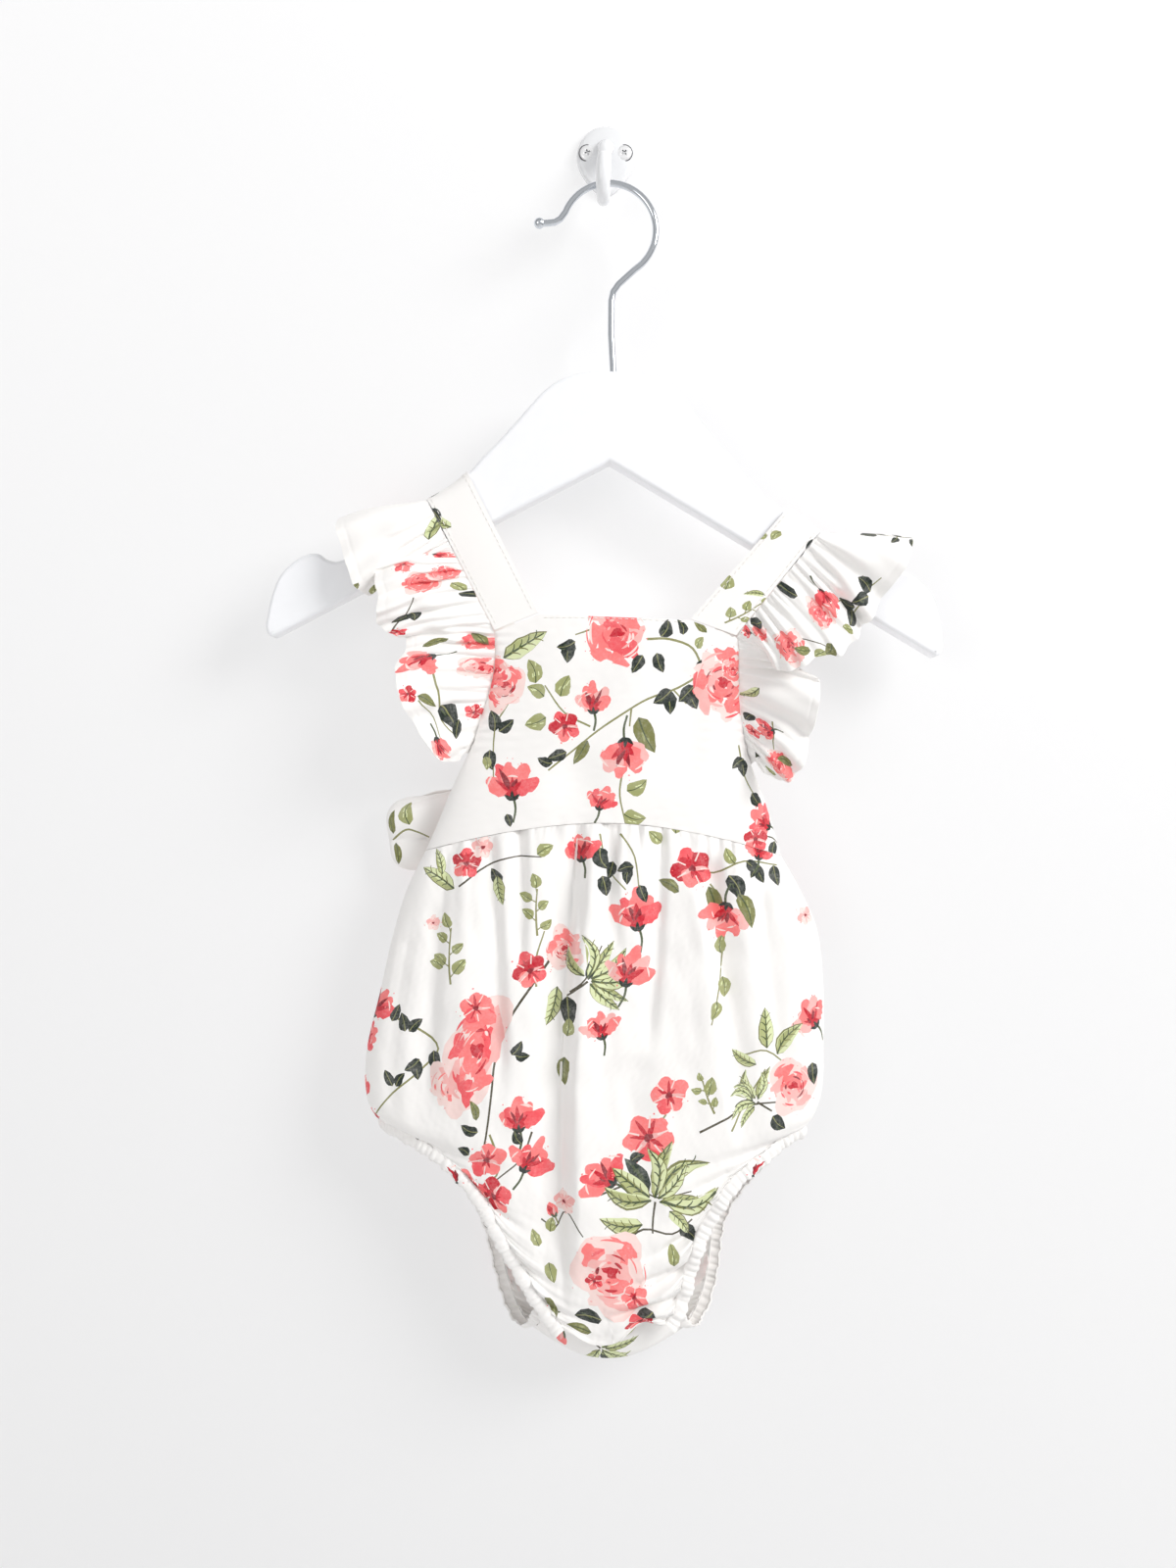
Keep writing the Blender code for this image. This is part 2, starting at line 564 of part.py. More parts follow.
def build_hanger(group, cutters, white, chrome):
    upper = [(-a, h) for a, h in reversed(BAR_TOP[1:])] + list(BAR_TOP)
    lower = [(a * 0.985, -BAR_UNDER_SLOPE * abs(a)) for a, h in upper]
    flat = upper + list(reversed(lower))
    outline = []
    for a, h in flat:
        x, drop = tilt_bar(a, h)
        outline.append((x, -drop))
    outline.reverse()
    rings = []
    levels = ((-1.0, BAR_EDGE), (-0.86, 0.75), (-0.60, 0.0), (0.60, 0.0), (0.86, 0.75), (1.0, BAR_EDGE))
    for side, inset in levels:
        ring = inset_outline(outline, inset) if inset else [Vector(p) for p in outline]
        out = WIRE_OUT + BAR_HALF_THICK * side
        rings.append([(p.x, -out, p.y) for p in ring])
    bar = ring_solid("hanger_bar", rings, group, white, smooth=False, paired=True)

    neck_x, neck_drop = tilt_bar(0.6, 39.8)
    foot_x, foot_drop = tilt_bar(0.2, 27.0)
    lean = Vector((neck_x - foot_x, 0.0, foot_drop - neck_drop)).normalized()
    rings = []
    for drop_down in (-2.0, 13.0):
        centre = Vector((neck_x, -WIRE_OUT, -neck_drop)) - lean * drop_down
        side = Vector((0.0, 1.0, 0.0)).cross(lean)
        ring = []
        for k in range(16):
            turn = 2.0 * math.pi * k / 16
            spot = centre + (side * math.cos(turn) + Vector((0.0, 1.0, 0.0)) * math.sin(turn)) * 1.9
            ring.append(tuple(spot))
        rings.append(ring)
    socket = ring_solid("neck_socket", rings, cutters, white)
    bored(bar, socket)

    path = []
    low = Vector((neck_x, 0.0, -neck_drop)) - lean * 12.4
    path.append((low.x, low.z, 1.0))
    path.append((neck_x, -neck_drop, 1.0))
    path.append((2.1, -88.0, 1.0))
    path.append((2.2, -73.2, 1.0))
    path.append((3.0, -69.2, 1.0))
    path.append((5.4, -65.8, 1.0))
    for k in range(20):
        turn = math.radians(-56.0 + 214.0 * k / 19.0)
        x = HOOK_CENTRE_X + HOOK_RADIUS * math.cos(turn)
        z = -HOOK_CENTRE_DROP + HOOK_RADIUS * math.sin(turn)
        path.append((x, z, 1.0))
    path.append((-20.4, -37.0, 1.0))
    path.append((-22.8, -38.4, 1.0))
    path.append((-25.6, -38.7, 1.0))
    path.append((-27.6, -38.8, 1.0))
    path.append((-28.2, -38.8, 1.25))
    path.append((-29.2, -38.8, 1.55))
    path.append((-30.4, -38.8, 1.55))
    path.append((-31.4, -38.8, 1.2))
    path.append((-31.9, -38.8, 0.6))
    curve = bpy.data.curves.new("hanger_hook", "CURVE")
    curve.dimensions = "3D"
    curve.bevel_depth = WIRE_RADIUS * MM
    curve.bevel_resolution = 2
    curve.use_fill_caps = True
    line = curve.splines.new("POLY")
    line.points.add(len(path) - 1)
    for spot, (x, z, swell) in zip(line.points, path):
        spot.co = (x * MM, -WIRE_OUT * MM, z * MM, 1.0)
        spot.radius = swell
    hook = bpy.data.objects.new("hanger_hook", curve)
    hook.data.materials.append(chrome)
    group.objects.link(hook)


# ---- cloth ----------------------------------------------------------------
def leg_loop(sign):
    """Sewing line round one leg opening, from the front flap to the back flap."""
    spots = []
    for k in range(FRONT_ROWS, 5, -1):
        spots.append(("front", k / FRONT_ROWS))
    for k in range(6, BACK_ROWS + 1):
        spots.append(("back", k / BACK_ROWS))
    line = []
    for which, v in spots:
        point = front_skirt_point if which == "front" else back_skirt_point
        here = Vector(point(sign, v))
        inner = Vector(point(sign * 0.93, v))
        later = Vector(point(sign, min(v + 0.01, 1.0)))
        earlier = Vector(point(sign, max(v - 0.01, 0.0)))
        facing = (here - inner).cross(later - earlier)
        if which == "back":
            facing = -facing
        facing = facing * sign
        line.append([here, facing.normalized()])
    return line


def build_casing(side, group, material):
    sign = -1.0 if side == "left" else 1.0
    line = leg_loop(sign)
    count = len(line)
    ways = []
    for k in range(count):
        run = (line[min(k + 1, count - 1)][0] - line[max(k - 1, 0)][0]).normalized()
        way = line[k][1].cross(run)
        ways.append(way.normalized())
    ref = Vector((0.0, 0.0, 1.0))
    middle = ways[count // 2]
    if middle.dot(ref) < 0.0:
        ways = [-w for w in ways]
    for repeat in range(4):
        soft = []
        for k in range(count):
            mean = ways[max(k - 1, 0)] + ways[k] * 2.0 + ways[min(k + 1, count - 1)]
            soft.append(mean.normalized())
        ways = soft

    def point(u, v):
        s = v * (count - 1)
        i = min(int(s), count - 2)
        f = s - i
        here = line[i][0].lerp(line[i + 1][0], f)
        way = ways[i].lerp(ways[i + 1], f)
        way.normalize()
        ripple = 0.35 * math.sin(v * 150.0) * u
        spot = here + way * (SEAM_GAP + 0.2 + (CASING_WIDTH - SEAM_GAP) * u + ripple)
        return spot.x, spot.y, spot.z

    cloth("leg_casing_" + side, point, 1, 3 * (count - 1), (0.0, 1.0), (0.0, 1.0), WALL, group, material)


def build_bow(group, material):
    knot_x, knot_out, knot_drop = BOW_KNOT
    bpy.ops.mesh.primitive_cube_add(size=1.0, location=place(knot_x, knot_out, knot_drop))
    knot = bpy.context.object
    knot.name = "bow_knot"
    knot.scale = (14.0 * MM, 8.6 * MM, 15.0 * MM)
    for holder in list(knot.users_collection):
        holder.objects.unlink(knot)
    group.objects.link(knot)
    knot.data.materials.append(material)
    round_off = knot.modifiers.new("Soft knot", "SUBSURF")
    round_off.levels = 2
    round_off.render_levels = 2

    for side, values in BOW_LOOPS.items():
        reach_x, end_drop, end_height, root_height, near_out, far_out = values
        sign = -1.0 if side == "left" else 1.0
        root_x = knot_x + sign * 7.6

        def loop_point(u, v):
            turn = v * math.pi
            reach = math.sin(turn) ** 0.75
            x = root_x + (reach_x - root_x) * reach
            level = 0.5 * (near_out + far_out)
            swing = 0.5 * (near_out - far_out) * math.copysign(abs(math.cos(turn)) ** 0.45, math.cos(turn))
            height = root_height + (end_height - root_height) * reach ** 0.8
            drop = knot_drop + (end_drop - knot_drop) * reach + height * u * 0.5
            return x, level + swing * (0.45 + 0.55 * min(1.0, reach * 1.4)), drop

        cloth("bow_loop_" + side, loop_point, 3, 28, (-1.0, 1.0), (0.02, 0.98), 1.0, group, material)

        def tail_point(u, v):
            x = knot_x + sign * (6.0 + 25.0 * v) + sign * u * (4.6 + 5.5 * v)
            out = 4.6 + 0.6 * math.sin(v * 5.0) - 0.6 * u
            drop = knot_drop + 10.0 + 62.0 * v - 3.0 * u * v
            return x, out, drop

        cloth("bow_tail_" + side, tail_point, 2, 8, (-1.0, 1.0), (0.0, 1.0), 1.0, group, material)

        def tie_point(u, v):
            start = 0.02 if side == "left" else 0.03
            spot = sign * (start + (0.70 - start) * v)
            if side == "left":
                spot = -0.20 - 0.50 * v
            x0, out0, drop0 = back_bodice_point(spot - 0.01, 0.75)
            x1, out1, drop1 = back_bodice_point(spot + 0.01, 0.75)
            length = math.hypot(x1 - x0, out1 - out0)
            x = 0.5 * (x0 + x1) + (out1 - out0) / length * 2.2
            out = 0.5 * (out0 + out1) - (x1 - x0) / length * 2.2
            drop = knot_drop + 0.6 + (5.0 + 2.0 * v) * u
            return x, out, drop

        cloth("tie_" + side, tie_point, 2, 12, (-1.0, 1.0), (0.0, 1.0), 1.0, group, material)


def main():
    clear_scene()
    group = make_collection("baby romper on a hanger and wall hook")
    cutters = make_collection("cutters")
    cutters.hide_render = True
    cotton = make_material("printed white cotton", (0.90, 0.86, 0.82), 0.85)
    bodice_cloth = make_material("bodice cotton", (0.92, 0.87, 0.84), 0.85)
    ruffle_cloth = make_material("ruffle cotton", (0.93, 0.82, 0.80), 0.85)
    strap_cloth = make_material("strap cotton", (0.94, 0.93, 0.90), 0.85)
    casing_cloth = make_material("gathered casing cotton", (0.88, 0.84, 0.80), 0.88)
    bow_cloth = make_material("bow cotton", (0.86, 0.86, 0.78), 0.85)
    moulded = make_material("white hanger paint", (0.93, 0.94, 0.95), 0.35)
    enamel = make_material("white enamel", (0.90, 0.91, 0.92), 0.25)
    chrome = make_material("chromed wire", (0.62, 0.64, 0.67), 0.18, 1.0)
    steel = make_material("screw steel", (0.70, 0.71, 0.73), 0.30, 1.0)

    build_wall_hook(group, cutters, enamel, steel)
    build_hanger(group, cutters, moulded, chrome)

    cloth("front_bodice", front_bodice_point, 20, 10, (-1.0, 1.0), (0.0, 1.0), WALL, group, bodice_cloth)
    cloth("back_bodice", back_bodice_point, 18, 4, (-1.0, 1.0), (0.0, 1.0), WALL, group, bodice_cloth)
    cloth("front_skirt", front_skirt_point, 28, FRONT_ROWS, (-1.0, 1.0), (0.0, 1.0), WALL, group, cotton)
    cloth("back_skirt", back_skirt_point, 24, BACK_ROWS, (-1.0, 1.0), (0.0, 1.0), WALL, group, cotton)

    for side, table in (("left", RUFFLE_LEFT), ("right", RUFFLE_RIGHT)):
        def strap(u, v):
            if v < 0.3:
                s = 0.006 + 0.354 * v / 0.3
            elif v < 0.7:
                s = 0.36 + 0.16 * (v - 0.3) / 0.4
            else:
                s = 0.52 + 0.476 * (v - 0.7) / 0.3
            return strap_point(side, s, u)

        cloth("strap_" + side, strap, 2, 30, (0.0, 1.0), (0.0, 1.0), STRAP_WALL, group, strap_cloth)
        seam = ruffle_seam(side)

        def ruffle(u, v):
            return ruffle_point(side, seam, table, u, v)

        cloth("ruffle_" + side, ruffle, 74, 3, (0.0, 1.0), (0.0, 1.0), RUFFLE_WALL, group, ruffle_cloth)
        build_casing(side, group, casing_cloth)

    build_bow(group, bow_cloth)


main()
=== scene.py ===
import math
import random

import bmesh
import bpy
import numpy as np
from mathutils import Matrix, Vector
from mathutils.geometry import delaunay_2d_cdt


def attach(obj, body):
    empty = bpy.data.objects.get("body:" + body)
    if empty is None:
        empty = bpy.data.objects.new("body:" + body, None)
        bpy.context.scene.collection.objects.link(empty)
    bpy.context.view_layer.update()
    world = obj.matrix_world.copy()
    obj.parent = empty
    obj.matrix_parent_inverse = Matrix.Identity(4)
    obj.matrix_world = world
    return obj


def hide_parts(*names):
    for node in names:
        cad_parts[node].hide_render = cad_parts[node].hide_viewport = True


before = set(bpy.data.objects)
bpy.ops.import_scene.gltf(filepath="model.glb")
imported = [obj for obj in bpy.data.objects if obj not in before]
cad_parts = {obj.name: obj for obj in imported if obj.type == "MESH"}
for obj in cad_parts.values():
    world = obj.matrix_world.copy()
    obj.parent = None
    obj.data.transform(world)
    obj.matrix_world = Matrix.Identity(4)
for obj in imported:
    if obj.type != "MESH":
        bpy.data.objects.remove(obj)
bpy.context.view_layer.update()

MM = 0.001

# ---------------------------------------------------------------------------
# Sizes of the garment and its holder, in millimetres. "drop" is the distance
# below the hook plate's middle and "out" the distance out from the wall.
# ---------------------------------------------------------------------------
TINY = 1e-12
WIRE_OUT = 24.0
WIRE_RADIUS = 1.5
BAR_HALF_THICK = 6.0
BAR_TILT = math.radians(1.71)
BAR_APEX_X = 1.3
BAR_APEX_DROP = 145.3
BAR_UNDER_SLOPE = 0.558
STRAP_RADIUS = 7.4
STRAP_LIFT = 1.5
CLOTH_WALL = 0.7
STRAP_WALL = 1.0
CASING_WALL = 0.9
RUFFLE_LENGTH = 330.0
RUFFLE_DEPTH = 38.0

# The bar's upper edge, from its middle to the end of an arm: along the bar, height over its middle line.
BAR_TOP = [
    (0, 39.8), (10, 39.3), (18, 37.4), (24.5, 34.4), (31, 29), (40, 18.2), (48.5, 8.2), (56, 0),
    (61.5, -6.6), (66, -10.9), (70.5, -14.6), (77, -18.6), (84.5, -23), (95, -29.8), (104, -36.4),
    (109.5, -41.2), (113.5, -45.2), (118, -47.2), (122.6, -46.4), (126, -44.2), (131, -44.4), (137.3, -48.1),
    (143.1, -54.6), (146.4, -63.7), (148.2, -73.4), (148.4, -77.2), (147.4, -79.9), (145.4, -81),
]

# The panels, section by section from the top edge down.
PANEL_COLUMNS = ("mid_drop", "left_drop", "right_drop", "left", "right", "mid_out", "edge_out")
FRONT_BODICE = [
    (214, 220.4, 222.6, -48.4, 56.2, 33.8, 31.6), (224, 229, 230.5, -48.1, 57.2, 34.8, 31),
    (234, 238.5, 240.5, -48.8, 57.5, 35.4, 30.2), (244, 248.5, 252, -51.6, 58, 35.8, 29),
    (254, 258.5, 263.5, -55, 59.6, 36.2, 27.4), (264, 268.5, 273.5, -58.2, 62, 36.5, 25.8),
    (274, 279.5, 284, -63.6, 65.6, 36.8, 24.8), (284, 291, 295, -68.8, 69.8, 37.1, 24.5),
    (294, 303, 306, -73.6, 73.2, 37.4, 24.4), (303.3, 315.6, 318, -79.1, 76.5, 37.8, 24.3),
]
BACK_BODICE = [
    (271.6, 273, 275, -60.2, 62.4, 15.6, 23.7), (281.5, 283.5, 286, -65.4, 66.4, 14.8, 23.7),
    (291, 294, 296.5, -69.8, 70.2, 14.2, 23.7), (301, 304.5, 307, -74.2, 73.6, 13.6, 23.7),
    (311, 315.6, 318, -79.1, 76.5, 13.2, 23.7),
]
FRONT_SKIRT = [
    (303.5, 315.9, 318.3, -79.3, 76.7, 38, 24.3), (324, 333, 334, -87.6, 85.4, 40.2, 24.3),
    (349, 353.5, 351, -93.8, 92.6, 41.8, 24.3), (377, 378, 375, -99.4, 95.2, 43.2, 24.3),
    (405, 403, 401, -105.2, 95.3, 44.2, 24.3), (430, 421, 422, -105.6, 94.4, 44.8, 24.3),
    (447, 432, 435.4, -101.2, 88.4, 45, 25.4), (456, 435.4, 440.6, -92.6, 77.4, 45, 29.8),
    (465, 439.4, 447.4, -82.4, 66.6, 44.9, 33.6), (477, 448.2, 457.2, -67.2, 53.2, 44.6, 37.6),
    (489, 462.8, 469.4, -53.6, 44.4, 44.2, 40), (501, 483, 484, -42.8, 36.8, 43.4, 41),
    (512, 497.4, 498.6, -34.6, 32.6, 42.4, 40.8), (521, 511.6, 510.6, -25.6, 29.4, 41, 40),
    (528.5, 523, 521.4, -18.4, 24.6, 39.6, 39.2),
]
BACK_SKIRT = [
    (311.3, 315.9, 318.3, -79.3, 76.7, 13, 23.7), (332, 333, 334, -87.6, 85.4, 10.8, 23.7),
    (354, 353.5, 351, -93.8, 92.6, 9.6, 23.7), (380, 378, 375, -99.4, 95.2, 8.8, 23.7),
    (406, 403, 401, -105.2, 95.3, 8.6, 23.7), (430, 421, 422, -105.6, 94.4, 8.8, 23.7),
    (447, 431, 435.4, -99.4, 88.4, 9.2, 22.6), (455, 433.8, 439.8, -91, 80.4, 9.6, 20),
    (463, 438.6, 446.4, -81.6, 72.6, 9.9, 17.8), (476, 449.4, 459.6, -69.4, 61.4, 10.2, 15.4),
    (489, 463.6, 472.4, -58.8, 52.2, 10.6, 14.2), (502, 483, 485.6, -49.6, 47.2, 11, 13.8),
    (513, 502, 503, -45.2, 45.2, 11.6, 14.2), (524, 514.6, 515, -41.2, 42, 13, 15.6),
    (533.4, 521.6, 522, -37.2, 38, 16.6, 19.6), (538.2, 524.2, 524.6, -33.2, 34.2, 23.2, 25.4),
    (537, 522, 522.4, -29.4, 31, 30, 30.6), (530, 516, 516, -26.2, 28, 34.2, 34.2),
    (520, 508, 508, -23.4, 25.2, 35.8, 35.8),
]

# Main creases: x at the top, middle and foot, drop at the top and foot, width of the
# left and the right flank, depth.
SKIRT_FOLDS = [
    (-12, -20, -19, 298, 524, 15, 2.7, 5.6), (-6, -12, -11, 306, 512, 2.8, 9, -2.6),
    (41.5, 52, 59, 312, 452, 3, 9, 4.6), (36, 45, 51, 322, 440, 8, 2.8, -1.8),
    (66, 72, 74, 330, 432, 6, 6, 2.2), (-50, -46.5, -45, 304, 425, 8, 3, 3.4),
    (-36, -36, -38, 301, 372, 6, 2.4, 2.6), (-69, -74.5, -80, 308, 440, 8, 4, 3),
    (-60, -62, -64, 312, 400, 6, 6, -1.2), (5, 3, 6, 300, 366, 5, 2.2, 2.6),
    (24, 22, 16, 302, 410, 8, 3, 2.8), (12, 14, 20, 400, 500, 9, 9, 1.6),
    (-86, -92, -94, 350, 436, 5, 5, 1.8),
]
# Short creases at the crotch, pulled in by the leg elastic: x and drop of the start, x and drop of the
# end, sag, width, depth.
CROTCH_FOLDS = [
    (52, 468, 12, 492, 3, 2.6, 3.8), (49, 484, 0, 508, 4, 2.8, 5), (46, 499, -6, 517, 3, 2.4, 4.8),
    (40, 511, 10, 521, 1.5, 1.8, 2.6), (30, 494, 8, 502, 1, 1.6, 2.2), (56, 452, 34, 462, 1.5, 2.4, 2),
    (38, 478, 22, 486, 1, 1.8, 1.4), (-50, 478, -20, 506, 3, 2.8, 3.8), (-45, 495, -14, 517, 3, 2.4, 3.6),
    (-55, 462, -36, 478, 1.5, 2.4, 2),
]
BACK_FOLDS = [
    (-30, -36, -38, 312, 470, 9, 6, 3.2), (6, 2, 4, 312, 505, 8, 8, 2.6), (38, 46, 50, 312, 455, 6, 9, 3),
    (-62, -70, -76, 318, 430, 7, 7, 2.2), (64, 72, 76, 318, 430, 6, 6, 2),
    (-12, -16, -20, 330, 460, 5, 5, -1.2),
]

# The inner and outer edge of each strap: places along the bar, then x and drop of its two corners on
# the front bodice and on the back bodice.
STRAPS = {
    "left": ((-62.4, -79.4), (-29.6, 212.6), (-48.4, 220), (-36, 271.2), (-55, 271.4)),
    "right": ((78.6, 93.4), (36.2, 215.2), (56, 222.2), (37, 271.3), (56, 272.6)),
}
# Shares of a strap's length in front of the bar, over it and behind it.
STRAP_FRONT, STRAP_OVER, STRAP_BEHIND = 0.36, 0.16, 0.48
STRAP_FOOT_OUT = 33.2
STRAP_END_OUT = 18.4

# The ruffles' outer hems: share of the seam that each point is gathered to, then where it lies.
RUFFLE_COLUMNS = ("seam", "across", "out", "drop")
RUFFLE_LEFT = [
    (0, -64.5, 29, 276), (0.035, -69, 36, 277), (0.08, -78, 42.5, 268.5), (0.13, -85.5, 46, 256.5),
    (0.18, -89.5, 46.5, 244.5), (0.225, -90.5, 43, 236), (0.26, -87, 37, 229), (0.3, -87.5, 35.5, 223.5),
    (0.34, -93.5, 38, 221), (0.38, -98.5, 42.5, 218.5), (0.41, -98, 45, 212), (0.45, -98, 45.5, 205.5),
    (0.48, -99.5, 42, 197), (0.505, -100, 36.5, 192), (0.525, -99, 33.5, 197), (0.55, -102, 35.5, 204.5),
    (0.585, -108, 41, 201.5), (0.625, -112.5, 43, 190), (0.67, -117, 36.5, 174.5), (0.71, -115, 25, 170.5),
    (0.755, -110, 13, 178), (0.81, -103, 8, 192), (0.87, -92, 7, 204), (0.93, -79, 9, 213),
    (0.975, -67, 13.5, 216), (1, -62.5, 16.5, 214),
]
RUFFLE_RIGHT = [
    (0, 66.5, 29.5, 278), (0.035, 68, 36, 281), (0.07, 74.5, 41, 285), (0.1, 80, 43, 284),
    (0.135, 85.5, 42, 275), (0.17, 87.5, 40.5, 266), (0.215, 90.5, 43.5, 252), (0.255, 91.5, 41, 242.5),
    (0.295, 85, 36.5, 237.5), (0.335, 76, 34.5, 234.5), (0.37, 72, 38.5, 235.5), (0.4, 75.5, 44, 238.5),
    (0.435, 82.5, 46.5, 236.5), (0.475, 91, 46.5, 232.5), (0.52, 99.5, 45, 231), (0.56, 106, 40.5, 225.5),
    (0.595, 110.5, 36.5, 219.5), (0.64, 117, 38.5, 210), (0.69, 126.5, 41, 195.5), (0.73, 133, 35.5, 182.5),
    (0.765, 131, 24.5, 178.5), (0.805, 123, 13, 184), (0.86, 111, 8, 197), (0.92, 95, 8, 213),
    (0.97, 80, 12.5, 221), (1, 73.5, 16, 220),
]
RUFFLE_BACK_END = 214.0

BOW_KNOT = (-8, 6.4, 302)
# The bow's loops: x and drop of the end, height there and at the knot, out of the near and far layer.
BOW_LOOPS = {
    "left": (-98.6, 309, 36, 13, 9.6, 2.6),
    "right": (60, 310, 32, 13, 9.4, 2.6),
}


# ---------------------------------------------------------------------------
# Curves and surfaces
# ---------------------------------------------------------------------------
def ease(t):
    """Smooth step through 0 to 1."""
    return t * t * (3.0 - 2.0 * t)


def bell(x, middle, width):
    return np.exp(-((x - middle) / width) ** 2)


def unit(rows):
    """Rows of vectors, each made one long."""
    return rows / np.maximum(np.linalg.norm(rows, axis=1)[:, None], TINY)


def run_along(points):
    """How far along a row of points each of them lies."""
    return np.concatenate([[0.0], np.cumsum(np.linalg.norm(np.diff(points, axis=0), axis=1))])


def at_run(at, run, rows):
    """The three values of some rows at a place along their run."""
    return [np.interp(at, run, rows[:, k]) for k in range(3)]


def catmull(values, t):
    """Smooth curve through evenly counted values, for an array of t from 0 to 1."""
    p = np.asarray(values, float)
    last = len(p) - 1
    s = np.clip(t, 0.0, 1.0) * last
    i = np.minimum(s.astype(int), last - 1)
    f = s - i
    padded = np.concatenate([[2 * p[0] - p[1]], p, [2 * p[-1] - p[-2]]])
    p0, p1, p2, p3 = padded[i], padded[i + 1], padded[i + 2], padded[i + 3]
    a = -0.5 * p0 + 1.5 * p1 - 1.5 * p2 + 0.5 * p3
    b = p0 - 2.5 * p1 + 2.0 * p2 - 0.5 * p3
    c = -0.5 * p0 + 0.5 * p2
    return ((a * f + b) * f + c) * f + p1


def dense(table, columns):
    """Each column of a table as a fine smooth curve."""
    t = np.linspace(0.0, 1.0, 601)
    return {name: catmull([row[k] for row in table], t) for k, name in enumerate(columns)}


def read(dense_table, name, t):
    values = dense_table[name]
    return np.interp(t, np.linspace(0.0, 1.0, len(values)), values)


def waves(x, y, pitch, seed, count=7):
    """Soft uneven ripple between about -1 and 1, with no direction of its own."""
    dice = random.Random(seed)
    total = np.zeros_like(x)
    for _ in range(count):
        turn = dice.uniform(0.0, math.tau)
        rate = math.tau / (pitch * dice.uniform(0.7, 1.5))
        total = total + np.sin((x * math.cos(turn) + y * math.sin(turn)) * rate + dice.uniform(0.0, math.tau))
    return total / math.sqrt(count) / 1.3


def fold_shift(folds, x, drop):
    """How far long creases move the cloth in or out."""
    shift = np.zeros_like(x)
    for x_top, x_mid, x_foot, drop_top, drop_foot, left_width, right_width, depth in folds:
        t = (drop - drop_top) / (drop_foot - drop_top)
        inside = (t > 0.0) & (t < 1.0)
        t = np.clip(t, 0.0, 1.0)
        centre = catmull([x_top, x_mid, x_foot], t)
        fade = ease(np.minimum(1.0, np.minimum(t / 0.10, (1.0 - t) / 0.25)))
        spread = 0.62 + 0.5 * t
        away = (x - centre) / np.where(x < centre, left_width * spread, right_width * spread)
        shift = shift + np.where(inside, depth * fade * np.exp(-away * away), 0.0)
    return shift


def pleats(x, depth_in, chart):
    """Gathers running down from a gathered seam: each has its place, length, width, depth."""
    total = np.zeros_like(x)
    for place, length, width, depth in chart:
        reach = np.clip(depth_in / length, 0.0, 1.0)
        fade = (1.0 - reach) ** 1.5
        away = (x - place) / (width * (1.0 + 1.3 * reach))
        total = total + depth * fade * np.exp(-away * away)
    return total


def gather_chart(low, high, pitch, seed, length, depth):
    """Gathers at uneven places between low and high, for pleats()."""
    dice = random.Random(seed)
    chart = []
    x = low
    while x < high:
        chart.append((x, dice.uniform(*length), pitch * dice.uniform(0.22, 0.36), dice.uniform(*depth)))
        x += pitch * dice.uniform(0.7, 1.4)
    return chart


def panel(name, u, v, arch, legs=0.0):
    """A panel's smooth form: u from -1 at its left edge to 1, v from 0 at its top to 1. Past "legs" its
    edges are those of the leg openings, and it is flatter across."""
    turn = np.clip(u, -1.0, 1.0) * math.pi / 2.0
    across = np.sign(u) * np.abs(np.sin(turn)) ** 0.92
    rise = np.maximum(np.cos(turn), 0.0) ** 0.82
    if legs:
        low = ease(np.clip((v - legs) / 0.10, 0.0, 1.0))
        rise = rise + (1.0 - np.abs(across) ** 2.3 - rise) * low
    take = {column: read(DENSE[name], column, v) for column in PANEL_COLUMNS}
    x = 0.5 * (take["left"] + take["right"]) + 0.5 * (take["right"] - take["left"]) * across
    edge = np.where(u < 0.0, take["left_drop"], take["right_drop"])
    drop = take["mid_drop"] + (edge - take["mid_drop"]) * np.abs(across) ** arch
    out = take["edge_out"] + (take["mid_out"] - take["edge_out"]) * rise
    return x, out, drop, rise, across


PANELS = {"front_bodice": FRONT_BODICE, "back_bodice": BACK_BODICE, "front_skirt": FRONT_SKIRT,
          "back_skirt": BACK_SKIRT}
RUFFLES = {"ruffle_left": RUFFLE_LEFT, "ruffle_right": RUFFLE_RIGHT}
DENSE = {name: dense(table, PANEL_COLUMNS) for name, table in PANELS.items()}
DENSE.update({name: dense(table, RUFFLE_COLUMNS) for name, table in RUFFLES.items()})

WAIST_PLEATS = gather_chart(-72.0, 72.0, 6.2, 11, (22.0, 75.0), (-2.3, 1.5))
WAIST_FINE = gather_chart(-76.0, 74.0, 2.7, 12, (7.0, 22.0), (-1.0, 0.7))
BACK_PLEATS = gather_chart(-72.0, 72.0, 6.0, 13, (18.0, 55.0), (-1.3, 1.0))
BODICE_PULLS = gather_chart(-70.0, 70.0, 9.0, 14, (4.0, 16.0), (-0.5, 0.35))


def neck_line(x, drop, v):
    """Pulls the bodice's top edge to the line through the feet of both straps."""
    corners = [STRAPS["left"][2], STRAPS["left"][1], STRAPS["right"][1], STRAPS["right"][2]]
    top = np.interp(x, [corner[0] for corner in corners], [corner[1] for corner in corners]) + 0.3
    weight = np.clip(1.0 - v / 0.35, 0.0, 1.0)
    return drop + (top - drop) * weight * weight


# Soft dents and one swell of the front bodice: x, drop, their widths, height.
BODICE_DENTS = [(-14, 285, 12, 16, -1.9), (36, 262, 9, 24, -1.3), (12, 240, 16, 18, 0.9)]


